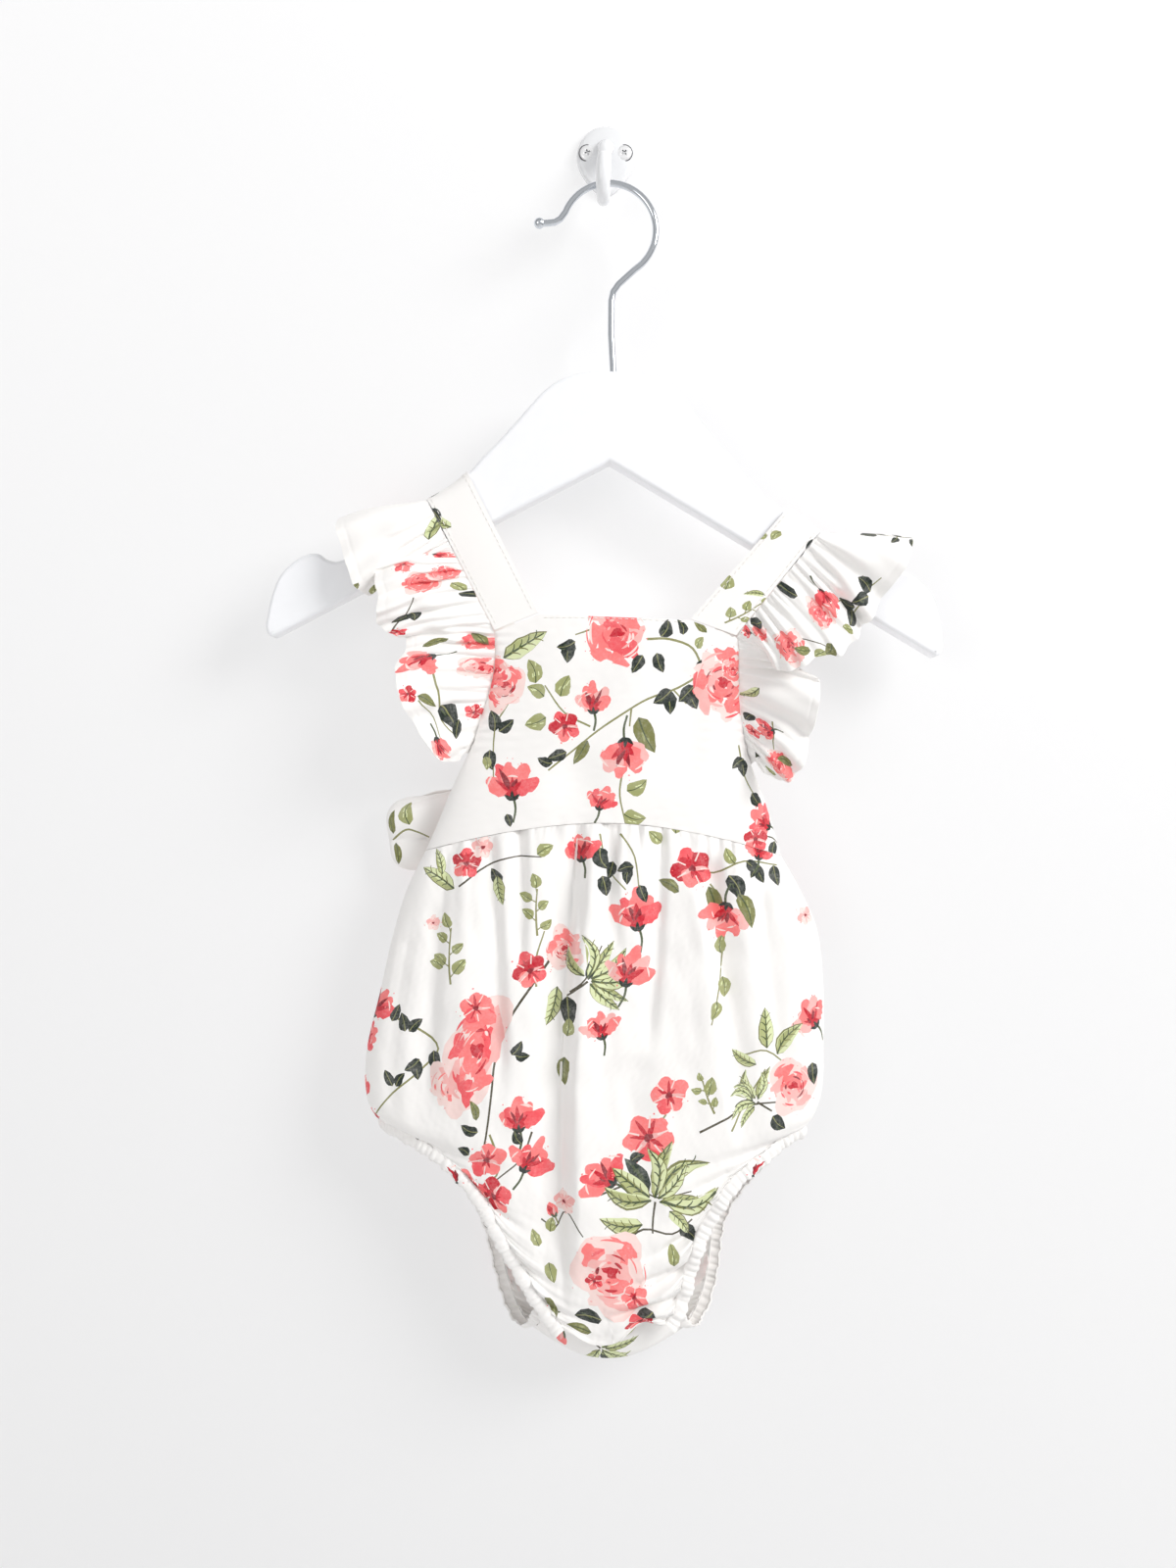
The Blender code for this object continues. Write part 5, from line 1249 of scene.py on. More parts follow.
def new_material(name, inputs):
    material = bpy.data.materials.new(name)
    material.use_nodes = True
    tree = material.node_tree
    shader = tree.nodes["Principled BSDF"]
    feed(tree, shader, inputs)
    return material, tree, shader


THREAD_PITCH = 0.00042


def cotton(name, strength=1.0, tint=(1.0, 1.0, 1.0)):
    """Printed cotton: woven threads as relief, ink a little uneven, soft sheen."""
    material, tree, shader = new_material(name, {
        "Roughness": 0.82, "Specular IOR Level": 0.25, "Sheen Weight": 0.18, "Sheen Roughness": 0.5})
    ink = node(tree, "Attribute", {}, attribute_name="print").outputs["Color"]
    place = node(tree, "UVMap", {}, uv_map="Weave").outputs["UV"]
    fleck = spread(tree, noise(tree, place, 900.0, 4.0, 0.65), 0.30, 0.72, 0.0, 1.0)
    wash = spread(tree, noise(tree, place, 160.0, 3.0), 0.35, 0.70, 0.04, 0.24)
    worn = mixed(tree, "MIX", calc(tree, "MULTIPLY", fleck, wash), ink, (*GROUND, 1.0))
    split = node(tree, "SeparateXYZ", {"Vector": place})
    threads = [calc(tree, "SINE", calc(tree, "MULTIPLY", split.outputs[axis], math.tau / THREAD_PITCH))
               for axis in ("X", "Y")]
    weave = calc(tree, "MULTIPLY", *threads)
    height = calc(tree, "MULTIPLY_ADD", weave, 0.30, noise(tree, place, 420.0, 6.0))
    feed(tree, shader, {"Base Color": mixed(tree, "MULTIPLY", 1.0, worn, (*tint, 1.0)),
                        "Normal": relief(tree, height, 0.22 * strength, 0.0004)})
    return material


def plain(name, colour, roughness, metallic=0.0, coat=0.0, grain=0.0, scale=300.0):
    """Paint, enamel, metal, thread or painted shade, a little uneven in colour and gloss."""
    material, tree, shader = new_material(name, {
        "Base Color": (*colour, 1.0), "Roughness": roughness, "Metallic": metallic,
        "Coat Weight": coat, "Coat Roughness": 0.12})
    uneven = noise(tree, node(tree, "TexCoord", {}).outputs["Object"], scale, 5.0)
    darker = (*[c * 0.965 for c in colour], 1.0)
    feed(tree, shader, {
        "Roughness": spread(tree, uneven, 0.0, 1.0, roughness * 0.85, min(1.0, roughness * 1.2)),
        "Base Color": mixed(tree, "MIX", uneven, darker, (*colour, 1.0))})
    if grain:
        feed(tree, shader, {"Normal": relief(tree, uneven, grain, 0.0003)})
    return material


# ---------------------------------------------------------------------------
# The garment
# ---------------------------------------------------------------------------
def panel_flat(name, arch, arch_growth):
    """Flat lay-out of a panel: across along each section, down along its middle."""
    last = 80
    mid = last // 2

    def base(u, v):
        x, out, drop = panel(name, u, v, arch + arch_growth * v)[:3]
        return x, out, neck_line(x, drop, v) if name == "front_bodice" else drop

    vs = np.linspace(0.0, 1.0, last + 1)
    rows = grid_of(base, np.linspace(-1.0, 1.0, last + 1), vs)
    step = np.linalg.norm(np.diff(rows, axis=1), axis=2)
    run = np.concatenate([np.zeros((last + 1, 1)), np.cumsum(step, axis=1)], axis=1)
    run = run - run[:, mid:mid + 1]
    centre = rows[:, mid]
    down = run_along(centre) + centre[0, 2]
    grid = np.empty((last + 1, last + 1, 2))
    grid[:, :, 0] = run + np.interp(vs, [0, 1], [centre[0, 0], centre[-1, 0]])[:, None]
    grid[:, :, 1] = down[:, None] + (rows[:, :, 2] - centre[:, None, 2])

    def flat(u, v):
        value = bilinear(grid, (np.asarray(u) + 1.0) * mid, np.asarray(v) * last)[0]
        return value[:, 0], value[:, 1]

    return flat


def strip_flat(length, depth):
    """Flat lay-out of a plain strip."""
    def flat(u, v):
        return np.asarray(u) * length, np.asarray(v) * depth
    return flat


def soften(rows, turns):
    """Evens out a row of points or directions, but for its two ends."""
    for _ in range(turns):
        rows[1:-1] = 0.25 * rows[:-2] + 0.5 * rows[1:-1] + 0.25 * rows[2:]
    return rows


def leg_loop(sign):
    """Sewing line round a leg opening, with which way is out of the panel there."""
    points = []
    front_v = np.linspace(1.0, 6.0 / 14.0, 60)
    back_v = np.linspace(6.0 / 18.0, 1.0, 80)
    for surface, vs in ((front_skirt_surface, front_v), (back_skirt_surface, back_v)):
        points.append(np.stack(surface(np.full(len(vs), sign), vs), axis=-1))
    points = soften(np.concatenate(points), 6)
    run = np.gradient(points, axis=0)
    # The cloth faces forward on the front, sideways at the hip, back behind, and down under the crotch.
    ahead = np.clip((points[:, 1] - WIRE_OUT) / 9.0, -1.0, 1.0)
    rest = np.sqrt(1.0 - ahead * ahead)
    under = np.arange(len(points)) > 100
    facing = np.stack([np.where(under, 0.0, rest * sign), ahead, np.where(under, rest, 0.0)], axis=-1)
    way = unit(np.cross(facing, run))
    to_hole = np.array([sign * 78.0, 0.0, 492.0]) - points
    to_hole[:, 1] = 0.0
    way[(way * to_hole).sum(axis=1) < 0.0] *= -1.0
    for _ in range(14):
        way = unit(soften(way, 1))
    return points, way, unit(np.cross(run, way)), run_along(points)


def casing_surface_of(side):
    """Surface of a gathered, ribbed leg casing, and its length."""
    sign = -1.0 if side == "left" else 1.0
    points, way, normal, length = leg_loop(sign)
    total = length[-1]

    def surface(s, w):
        at = s * total
        fine = np.sin(at * 2.05 + 1.5 * np.sin(at * 0.31))
        slow = np.sin(at * 0.74 + 1.3 * np.sin(at * 0.13))
        reach = 0.25 + 5.0 * w + (0.22 * fine + 0.35 * slow) * w
        rib = (0.34 * fine + 0.30 * slow) * (0.35 + 0.65 * np.sin(math.pi * w))
        lift = 0.75 * np.sin(math.pi * w) ** 0.7 + rib
        lines = [at_run(at, length, rows) for rows in (points, way, normal)]
        return [p + o * reach - m * lift * sign for p, o, m in zip(*lines)]

    return surface, total


def bow_loop(side, cottons):
    """One loop of the bow: out from the knot, round at its end and back, soft and unevenly filled."""
    knot_x, knot_drop = BOW_KNOT[0], BOW_KNOT[2]
    reach_x, end_drop, end_height, root_height, near_out, far_out = BOW_LOOPS[side]
    sign = -1.0 if side == "left" else 1.0
    root_x = knot_x + sign * 7.0
    fullness = 0.4 if side == "right" else 1.0

    def turn_at(v):
        return (0.02 + 0.96 * v) * math.pi

    def loop_surface(u, v):
        turn = turn_at(v)
        reach = np.sin(turn) ** 0.75
        side_on = np.sign(np.cos(turn)) * np.abs(np.cos(turn)) ** 0.45
        level, swing = 0.5 * (near_out + far_out), 0.5 * (near_out - far_out) * side_on
        puff = ease(np.clip((reach - 0.55) / 0.35, 0.0, 1.0)) * fullness
        height = root_height + (end_height - root_height) * np.minimum(1.0, reach * 1.25) ** 0.8
        height = height * (1.0 - 0.10 * reach ** 6)
        lobes = 1.0 + 0.05 * np.sin(reach * 11.0 + 1.0) + 0.04 * np.sin(v * 19.0)
        drop = knot_drop + (end_drop - knot_drop) * reach + height * lobes * np.sin(u * math.pi / 2.0) * 0.5
        bulge = 21.0 * (1.0 - np.sqrt(1.0 - (0.97 * u) ** 2)) * np.where(u > 0.0, 1.1, 0.8)
        x = root_x + (reach_x - root_x) * reach
        x = x - sign * (bulge + 1.0 * np.sin(u * 5.0 + 0.7)) * reach ** 3
        folds = 0.8 * np.sin(u * 3.4 + 2.2 * np.sin(reach * 2.6))
        split = 0.10 + 0.25 * (1.0 - reach)
        folds = folds + 3.2 * np.abs(np.sin((u - split) * 2.7)) ** 0.7 - 1.6
        folds = folds - 1.5 * np.exp(-((u + 0.50 + 0.6 * (1.0 - reach)) / 0.12) ** 2)
        out = level + swing * (0.45 + 0.55 * np.minimum(1.0, reach * 1.4)) * (1.0 - 0.25 * u * u)
        out = out + 0.4 * folds * (1.0 - puff) + 1.1 * folds * puff
        out = np.clip(out, 1.6, 10.2 + 9.0 * puff) + puff * (3.2 + 3.0 * side_on) * (1.0 - 0.6 * u * u)
        return x, out, drop

    half_length = abs(reach_x - root_x)
    length = half_length * 2.0 + 8.0
    width = end_height + 1.0

    def loop_flat(u, v):
        v = np.asarray(v)
        reach = np.sin(turn_at(v)) ** 0.75
        round_end = ease(np.clip((v - 0.40) / 0.20, 0.0, 1.0))
        run = np.where(v < 0.5, half_length * reach, half_length * (2.0 - reach))
        return np.asarray(u) * width * 0.5, run + 8.0 * round_end

    repeat = repeat_print(half_length + 30.0, length, -width / 2, width / 2, 61)
    chart = BOW_PRINT + [(kind, across, along, turn, size) for kind, along, across, turn, size in repeat]
    loop = sew("bow_loop_" + side, loop_surface, loop_flat, -1.0, (26, 110), (width, length),
               ink_parts(chart, 61, BOW_STEMS), cottons, flip=(side == "left"))
    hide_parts("bow_loop_" + side)
    return loop


def bow_tail(side, cottons):
    knot_x, knot_drop = BOW_KNOT[0], BOW_KNOT[2]
    sign = -1.0 if side == "left" else 1.0

    def tail_surface(u, v):
        x = knot_x + sign * (6.0 + 25.0 * v) + sign * u * (4.6 + 5.5 * v)
        out = 4.6 + 0.6 * np.sin(v * 5.0) - 0.6 * u + 0.5 * np.sin(u * 3.0 + v * 2.0)
        drop = knot_drop + 10.0 + 62.0 * v - 3.0 * u * v
        return x, out, drop

    tail = sew("bow_tail_" + side, tail_surface, strip_flat(10.0, 67.0), -1.0, (16, 50), (18.0, 67.0),
               ink_parts(repeat_print(-10.0, 10.0, 0.0, 67.0, 71), 71), cottons, flip=(side == "left"))
    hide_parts("bow_tail_" + side)
    return tail


def waist_tie(side, cottons):
    """The tie from the side seam to the bow, lying on the back bodice."""
    knot_drop = BOW_KNOT[2]
    tie_length = 46.0 if side == "left" else 64.0

    def tie_surface(u, v):
        spot = (-0.20 - 0.50 * v) if side == "left" else (0.03 + 0.67 * v)
        x0, out0 = back_bodice_surface(spot - 0.01, np.full_like(spot, 0.75))[:2]
        x1, out1 = back_bodice_surface(spot + 0.01, np.full_like(spot, 0.75))[:2]
        run = np.hypot(x1 - x0, out1 - out0)
        x = 0.5 * (x0 + x1) + (out1 - out0) / run * 2.2
        out = 0.5 * (out0 + out1) - (x1 - x0) / run * 2.2
        drop = knot_drop + 0.6 + (5.0 + 2.0 * v) * u
        return x, out + 0.35 * np.sin(u * 5.0 + v * 2.0), drop

    parts = ink_parts(repeat_print(-7.0, 7.0, 0.0, tie_length, 81), 81)
    tie = sew("tie_" + side, tie_surface, strip_flat(6.5, tie_length), -1.0, (14, 44), (13.0, tie_length),
              parts, cottons, flip=(side == "right"))
    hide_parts("tie_" + side)
    return tie


def bow_knot(cottons):
    knot_x, knot_out, knot_drop = BOW_KNOT

    def knot_surface(u, v):
        turn = u * math.tau
        down = math.pi * (0.04 + 0.92 * v)
        ring = np.sin(down) ** 0.5
        pinch = 1.0 + 0.10 * np.sin(turn * 3.0 + v * 4.0)
        x = knot_x + 6.0 * ring * np.cos(turn) * pinch
        out = knot_out + 3.6 * ring * np.sin(turn)
        return x, out, knot_drop - 6.6 * np.cos(down)

    size = (34.0, 16.0)
    parts = ink_parts(repeat_print(0.0, size[0], 0.0, size[1], 91), 91)
    knot = sew("bow_knot", knot_surface, strip_flat(*size), 0.0, (48, 20), size, parts, cottons)
    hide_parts("bow_knot")
    return knot


STITCH_PITCH = 2.7
STITCH_LENGTH = 1.8
STITCH_NUDGE = 0.004
# Rings of a stitch: share of its length, half its thickness, height over the seam's own lift.
STITCH_RINGS = [(0.0, 0.05, -0.04), (0.2, 0.17, 0.10), (0.8, 0.17, 0.10), (1.0, 0.05, -0.04)]


def stitch_line(name, piece, surface, us, vs, outward, thread, lift=0.42):
    """A row of machine stitches: small rounded threads that follow a piece's own surface."""
    def at(u, v):
        return np.stack(surface(u, v), axis=-1)

    grid = at(us, vs)
    a = at(np.clip(us + STITCH_NUDGE, -1.0, 1.0), vs) - at(us - STITCH_NUDGE, vs)
    b = at(us, np.minimum(vs + STITCH_NUDGE, 1.0)) - at(us, np.maximum(vs - STITCH_NUDGE, 0.0))
    normal = unit(np.cross(a, b)) * outward
    run = run_along(grid)
    verts, faces = [], []
    start = 0.6
    while start + STITCH_LENGTH < run[-1]:
        base = len(verts)
        for share, half, height in STITCH_RINGS:
            here = start + STITCH_LENGTH * share
            p, q = Vector(at_run(here, run, grid)), Vector(at_run(here + 0.2, run, grid))
            n = Vector(at_run(here, run, normal)).normalized()
            across = (q - p).normalized().cross(n)
            middle = p + n * (lift + height)
            for side, up in ((-1, 0), (0, 1), (1, 0), (0, -1)):
                c = middle + across * (side * half) + n * (up * half * 0.8)
                verts.append((c.x * MM, -c.y * MM, -c.z * MM))
        for ring in range(base, base + 12, 4):
            for k in range(4):
                m = (k + 1) % 4
                faces.append((ring + k, ring + m, ring + 4 + m, ring + 4 + k))
        faces.append((base, base + 3, base + 2, base + 1))
        faces.append((base + 12, base + 13, base + 14, base + 15))
        start += STITCH_PITCH
    mesh = bpy.data.meshes.new(name)
    mesh.from_pydata(verts, [], faces)
    turn_outward(mesh)
    thing = add_object("stitch_" + name, mesh, thread)
    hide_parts(piece)
    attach(thing, "root")


def strap_of(side):
    return lambda u, v: strap_surface(side, np.asarray(u), even_strap(np.asarray(v)))


def ruffle_of(side):
    return lambda u, v: ruffle_surface(side, np.asarray(u), np.asarray(v))


def build_stitches():
    thread = plain("sewing_thread", srgb(246, 243, 239), 0.6, scale=1400.0)
    across = np.linspace(-0.40, 0.40, 200)
    stitch_line("neckline", "front_bodice", front_bodice_surface, across, np.full(200, 0.035), -1.0, thread)
    across = np.linspace(-0.96, 0.96, 240)
    stitch_line("back_top", "back_bodice", back_bodice_surface, across, np.full(240, 0.10), 1.0, thread)
    for side, sign in (("left", -1.0), ("right", 1.0)):
        down = np.linspace(0.01, 0.97, 400)
        for label, place in (("inner", 0.08), ("outer", 0.92)):
            stitch_line("strap_%s_%s" % (side, label), "strap_" + side, strap_of(side),
                        np.full(400, place), down, sign, thread, lift=0.55)
        along = np.linspace(0.01, 0.99, 700)
        name = "ruffle_" + side
        stitch_line(name, name, ruffle_of(side), along, np.full(700, 0.925), sign, thread)


STRAP_PRINTS = {
    "left": [("leaf_pale", 15.5, 52, 200, 11)],
    "right": [
        ("leaf_sage", 5, 58, 10, 6), ("leaf_sage", 1.5, 53, 60, 5), ("sage_sprig", 12, 4, 210, 18),
        ("leaf_sage", 3, 20, 160, 8), ("leaf_pale", 18, 26, 60, 9),
    ],
}
# Print, stems and seed of the repeat where the photo's side of a ruffle ends.
RUFFLE_PRINTS = {"left": (RUFFLE_LEFT_PRINT, RUFFLE_LEFT_STEMS, 8),
                 "right": (RUFFLE_RIGHT_PRINT, RUFFLE_RIGHT_STEMS, 9)}


def strap_flat(u, v):
    return np.asarray(u) * 19.0, np.interp(v, [0.0, 0.32, 0.62, 1.0], [0.0, 62.0, 84.0, 190.0])


def build_cloth():
    cottons = cotton("printed_cotton"), cotton("cotton_wrong_side", 0.8, (0.985, 0.975, 0.965))

    front = sew("front_bodice", front_bodice_surface, panel_flat("front_bodice", 1.8, 0.0), -1.0, (120, 90),
                (150.0, 92.0), ink_parts(BODICE_PRINT, 200, BODICE_STEMS), cottons, flip=True)
    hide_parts("front_bodice")

    skirt = sew("front_skirt", front_skirt_surface, panel_flat("front_skirt", 1.8, 0.6), -1.0, (180, 190),
                (210.0, 228.0), ink_parts(SKIRT_PRINT, 400, SKIRT_STEMS), cottons, flip=True)
    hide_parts("front_skirt")

    back = sew("back_bodice", back_bodice_surface, panel_flat("back_bodice", 1.8, 0.0), -1.0, (80, 30),
               (150.0, 40.0), ink_parts(repeat_print(-78.0, 78.0, 268.0, 318.0, 5), 500), cottons)
    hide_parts("back_bodice")

    rear = sew("back_skirt", back_skirt_surface, panel_flat("back_skirt", 1.8, 0.4), -1.0, (140, 170),
               (210.0, 260.0), ink_parts(repeat_print(-105.0, 105.0, 312.0, 580.0, 6), 600), cottons)
    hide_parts("back_skirt")

    made = [front, skirt, back, rear]
    for side in ("left", "right"):
        chart = STRAP_PRINTS[side] + repeat_print(0.0, 19.0, 100.0, 190.0, 7, 30.0)
        band = sew("strap_" + side, strap_of(side), strap_flat, 0.0, (16, 130), (19.0, 190.0),
                   ink_parts(chart, 700), cottons, flip=(side == "left"), wall=STRAP_WALL)
        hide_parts("strap_" + side)

        chart, stems, seed = RUFFLE_PRINTS[side]
        chart = chart + repeat_print(266.0, RUFFLE_LENGTH, 0.0, RUFFLE_DEPTH, seed, 20.0)
        size = (RUFFLE_LENGTH, RUFFLE_DEPTH)
        strip = sew("ruffle_" + side, ruffle_of(side), strip_flat(*size), 0.0, (420, 34), size,
                    ink_parts(chart, 800, stems), cottons, flip=(side == "right"))
        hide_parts("ruffle_" + side)

        surface, total = casing_surface_of(side)
        chart = repeat_print(0.0, total, 0.0, 6.0, 10, 26.0)
        casing = sew("leg_casing_" + side, surface, strip_flat(total, 5.0), 0.0, (420, 8), (total, 5.0),
                     ink_parts(chart, 900), cottons, flip=(side == "right"), wall=CASING_WALL, back_pitch=0.8)
        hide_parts("leg_casing_" + side)
        made += [band, strip, casing]

    for side in ("left", "right"):
        made += [bow_loop(side, cottons), bow_tail(side, cottons), waist_tie(side, cottons)]
    made.append(bow_knot(cottons))
    for piece in made:
        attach(piece, "root")


# ---------------------------------------------------------------------------
# Hanger and wall hook
# ---------------------------------------------------------------------------
def turn_outward(mesh):
    """Turns all faces outwards and shades them smoothly."""
    work = bmesh.new()
    work.from_mesh(mesh)
    bmesh.ops.recalc_face_normals(work, faces=work.faces)
    work.to_mesh(mesh)
    work.free()
    for face in mesh.polygons:
        face.use_smooth = True
    mesh.update()


def ring_mesh(name, rings, material, close=True):
    """Joins rings of as many places each, in millimetres, into one skin."""
    count = len(rings[0])
    verts = [tuple(c * MM for c in p) for ring in rings for p in ring]
    faces = []
    for base in range(0, (len(rings) - 1) * count, count):
        for k in range(count):
            n = (k + 1) % count
            faces.append((base + k, base + n, base + count + n, base + count + k))
    if close:
        faces.append(tuple(range(count - 1, -1, -1)))
        faces.append(tuple(range(len(verts) - count, len(verts))))
    mesh = bpy.data.meshes.new(name)
    mesh.from_pydata(verts, [], faces)
    turn_outward(mesh)
    return add_object("fine_" + name, mesh, material)


def circle(count, radius):
    turns = [math.tau * k / count for k in range(count)]
    return [(radius * math.cos(turn), radius * math.sin(turn)) for turn in turns]


def turned_rings(x, z, profile, count):
    """Rings round an axis square to the wall; the profile gives out and radius."""
    return [[(x + px, -out, z + pz) for px, pz in circle(count, radius)] for out, radius in profile]


def inset_outline(outline, amount):
    """An outline moved inwards by an amount, its corners held back."""
    pts = np.array(outline)
    before = pts - np.roll(pts, 1, axis=0)
    after = np.roll(pts, -1, axis=0) - pts
    side, next_side = [unit(np.stack([-run[:, 1], run[:, 0]], axis=-1)) for run in (before, after)]
    mean = unit(side + next_side)
    reach = np.minimum(amount / np.maximum((mean * side).sum(1), 0.55), amount * 1.6)
    return pts + mean * reach[:, None]


BAR_EDGE = 1.9
BAR_FOOT_SHARE = 0.957


def build_bar(material):
    """The bar: its outline, with rounded edges front and back, and strips that close both faces."""
    spots = np.array(BAR_TOP)
    t = np.linspace(0.0, 1.0, 110)
    tops = np.stack([catmull(spots[:, 0], t), catmull(spots[:, 1], t)], axis=-1)
    upper = [(-a, h) for a, h in tops[:0:-1]] + [(a, h) for a, h in tops]
    tip = np.argmax(tops[:, 0])
    beyond = np.clip((np.arange(len(tops)) - tip) / (len(tops) - 1 - tip), 0.0, 1.0)
    feet = np.maximum.accumulate(tops[:, 0]) * BAR_FOOT_SHARE + 2.0 * beyond
    feet = [-a for a in feet[:0:-1]] + list(feet)
    lower = [(a, -BAR_UNDER_SLOPE * abs(a)) for a in feet]
    outline = [(tilt_bar(a, h)[0], -tilt_bar(a, h)[1]) for a, h in lower + upper[::-1]]
    rings = []
    for k in range(7):
        turn = math.pi / 2.0 * k / 6.0
        rings.append((BAR_EDGE * (1.0 - math.sin(turn)), BAR_EDGE * (1.0 - math.cos(turn)) - BAR_HALF_THICK))
    rings = rings + [(inset, -depth) for inset, depth in reversed(rings)]
    laid = []
    for inset, depth in rings:
        ring = inset_outline(outline, inset) if inset > 1e-6 else outline
        laid.append([(x, -(WIRE_OUT + depth), z) for x, z in ring])
    count = len(outline)
    bar = ring_mesh("hanger_bar", laid, material, close=False)
    mesh = bar.data
    verts = [v.co.copy() for v in mesh.vertices]
    faces = [tuple(p.vertices) for p in mesh.polygons]
    for base, flip in ((0, False), ((len(laid) - 1) * count, True)):
        for k in range(count // 2 - 1):
            quad = (base + k, base + k + 1, base + count - 2 - k, base + count - 1 - k)
            faces.append(quad[::-1] if flip else quad)
    mesh.clear_geometry()
    mesh.from_pydata(verts, [], faces)
    turn_outward(mesh)
    soft = bar.modifiers.new("Even shading", "WEIGHTED_NORMAL")
    soft.keep_sharp = False
    soft.weight = 100
    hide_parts("hanger_bar")
    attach(bar, "root")


def build_wire(material):
    """The hanger's wire: up from the bar, round its hook and out to the ball at its end."""
    neck_x, neck_drop = tilt_bar(0.6, 39.8)
    foot_x, foot_drop = tilt_bar(0.2, 27.0)
    path = [(foot_x, -foot_drop, 1), (neck_x, -neck_drop, 1), (2.1, -88, 1), (2.2, -73.2, 1), (3, -69.2, 1),
            (5.4, -65.8, 1)]
    for k in range(40):
        turn = math.radians(-56.0 + 214.0 * k / 39.0)
        path.append((1.1 + 20.8 * math.cos(turn), -41.9 + 20.8 * math.sin(turn), 1))
    path += [(-20.4, -37, 1), (-22.8, -38.4, 1), (-25.6, -38.7, 1), (-27.3, -38.8, 1)]
    for k in range(9):
        turn = math.pi * (0.22 + 0.74 * k / 8.0)
        path.append((-29.6 + 2.4 * math.cos(turn), -38.8, 1.62 * math.sin(turn)))
    curve = bpy.data.curves.new("hanger_hook", "CURVE")
    curve.dimensions = "3D"
    curve.bevel_depth = WIRE_RADIUS * MM
    curve.bevel_resolution = 6
    curve.use_fill_caps = True
    line = curve.splines.new("POLY")
    line.points.add(len(path) - 1)
    for spot, (x, z, swell) in zip(line.points, path):
        spot.co = (x * MM, -WIRE_OUT * MM, z * MM, 1.0)
        spot.radius = max(swell, 0.2)
    line.use_smooth = True
    hook = add_object("fine_hanger_hook", curve, material)
    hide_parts("hanger_hook")
    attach(hook, "root")


# The plate's rounded edge: out and share of its outline.
PLATE_LEVELS = [(0, 1), (1.2, 1), (1.9, 0.992), (2.5, 0.968), (2.9, 0.93), (3.25, 0.87), (3.55, 0.78),
                (3.85, 0.64), (4.1, 0.48), (4.3, 0.30), (4.35, 0.12)]
# The prong's middle line: x, out, height, radius.
PRONG = [(-0.2, 2, 3.4, 4.6), (-0.2, 4.6, 2.8, 3.9), (-0.4, 9, -0.4, 3.3), (-0.7, 12.8, -6.4, 3),
         (-0.9, 15.6, -14, 3), (-1.1, 18.4, -22, 3), (-1.3, 21.6, -26.8, 3), (-1.4, 26, -28.4, 3),
         (-1.5, 30.6, -27.2, 3.1), (-1.6, 33.8, -23.4, 3.1), (-1.7, 35.4, -18, 2.9), (-1.7, 35.8, -14.6, 2.4)]
# The screws: where they sit, their domed head and the dark ring round it, a painted shadow of the
# countersink, as out and radius.
SCREW_X = 8.4
SCREW_Z = 1.4
SCREW_HEAD = [(1, 1.6), (2.6, 3.2), (3.5, 3.55), (3.8, 3.5), (4.15, 3), (4.35, 2.2), (4.45, 1.2), (4.48, 0.3)]
SCREW_SHADOW_RING = [(3.3, 3.55), (3.72, 3.55), (3.76, 3.75), (3.66, 3.95), (3.2, 4)]
# The cross recess at its mouth and floor: out, half length and half width of an arm.
SCREW_CROSS = [(6, 1.9, 0.42), (3.6, 1, 0.30)]
BOX_FACES = [(0, 1, 2, 3), (7, 6, 5, 4), (0, 4, 5, 1), (1, 5, 6, 2), (2, 6, 7, 3), (3, 7, 4, 0)]


def plate_rings():
    outline = []
    for k in range(96):
        turn = math.tau * k / 96
        up = math.cos(turn)
        high, pinch = (14.4, 1.0) if up > 0.0 else (17.4, 1.0 - 0.34 * abs(up) ** 1.6)
        outline.append((-13.3 * math.sin(turn) * pinch, high * up))
    return [[(x * share, -out, (z + 0.6) * share - 0.6) for x, z in outline] for out, share in PLATE_LEVELS]


def ring_across(centre, run, radius):
    """A ring of the prong, square to the way that it runs."""
    side = Vector((1.0, 0.0, 0.0))
    up = run.cross(side)
    return [tuple(centre + (side * a + up * b) * radius) for a, b in circle(24, 1.0)]


def prong_rings():
    t = np.linspace(0.0, 1.0, 56)
    xs, outs, zs, radii = [catmull(values, t) for values in zip(*PRONG)]
    rings = []
    for k in range(len(t)):
        a, b = max(k - 1, 0), min(k + 1, len(t) - 1)
        run = Vector((0.0, -(outs[b] - outs[a]), zs[b] - zs[a])).normalized()
        rings.append(ring_across(Vector((xs[k], -outs[k], zs[k])), run, radii[k]))
    tip, run = Vector((xs[-1], -outs[-1], zs[-1])), Vector((0.0, -0.1, 1.0)).normalized()
    for k in range(1, 7):
        turn = math.pi / 2.0 * k / 6.0
        ahead, radius = radii[-1] * math.sin(turn), radii[-1] * max(math.cos(turn), 0.04)
        rings.append(ring_across(tip + run * ahead, run, radius))
    return rings


def cut_arm(screw, x, lean):
    """Cuts one arm of the cross recess into a screw's head."""
    mesh = bpy.data.meshes.new("screw_cross")
    c, s = math.cos(lean), math.sin(lean)
    corners = []
    for out, half_long, half_wide in SCREW_CROSS:
        for sx, sz in ((-1, -1), (1, -1), (1, 1), (-1, 1)):
            px, pz = sx * half_long, sz * half_wide
            corners.append(((x + px * c - pz * s) * MM, -out * MM, (SCREW_Z + px * s + pz * c) * MM))
    mesh.from_pydata(corners, [], BOX_FACES)
    cutter = add_object("screw_cross", mesh)
    cut = screw.modifiers.new("Cross recess", "BOOLEAN")
    cut.object = cutter
    cut.solver = "EXACT"
    bpy.context.view_layer.update()
    solid = bpy.data.meshes.new_from_object(screw.evaluated_get(bpy.context.evaluated_depsgraph_get()))
    screw.modifiers.clear()
    screw.data = solid
    bpy.data.objects.remove(cutter)
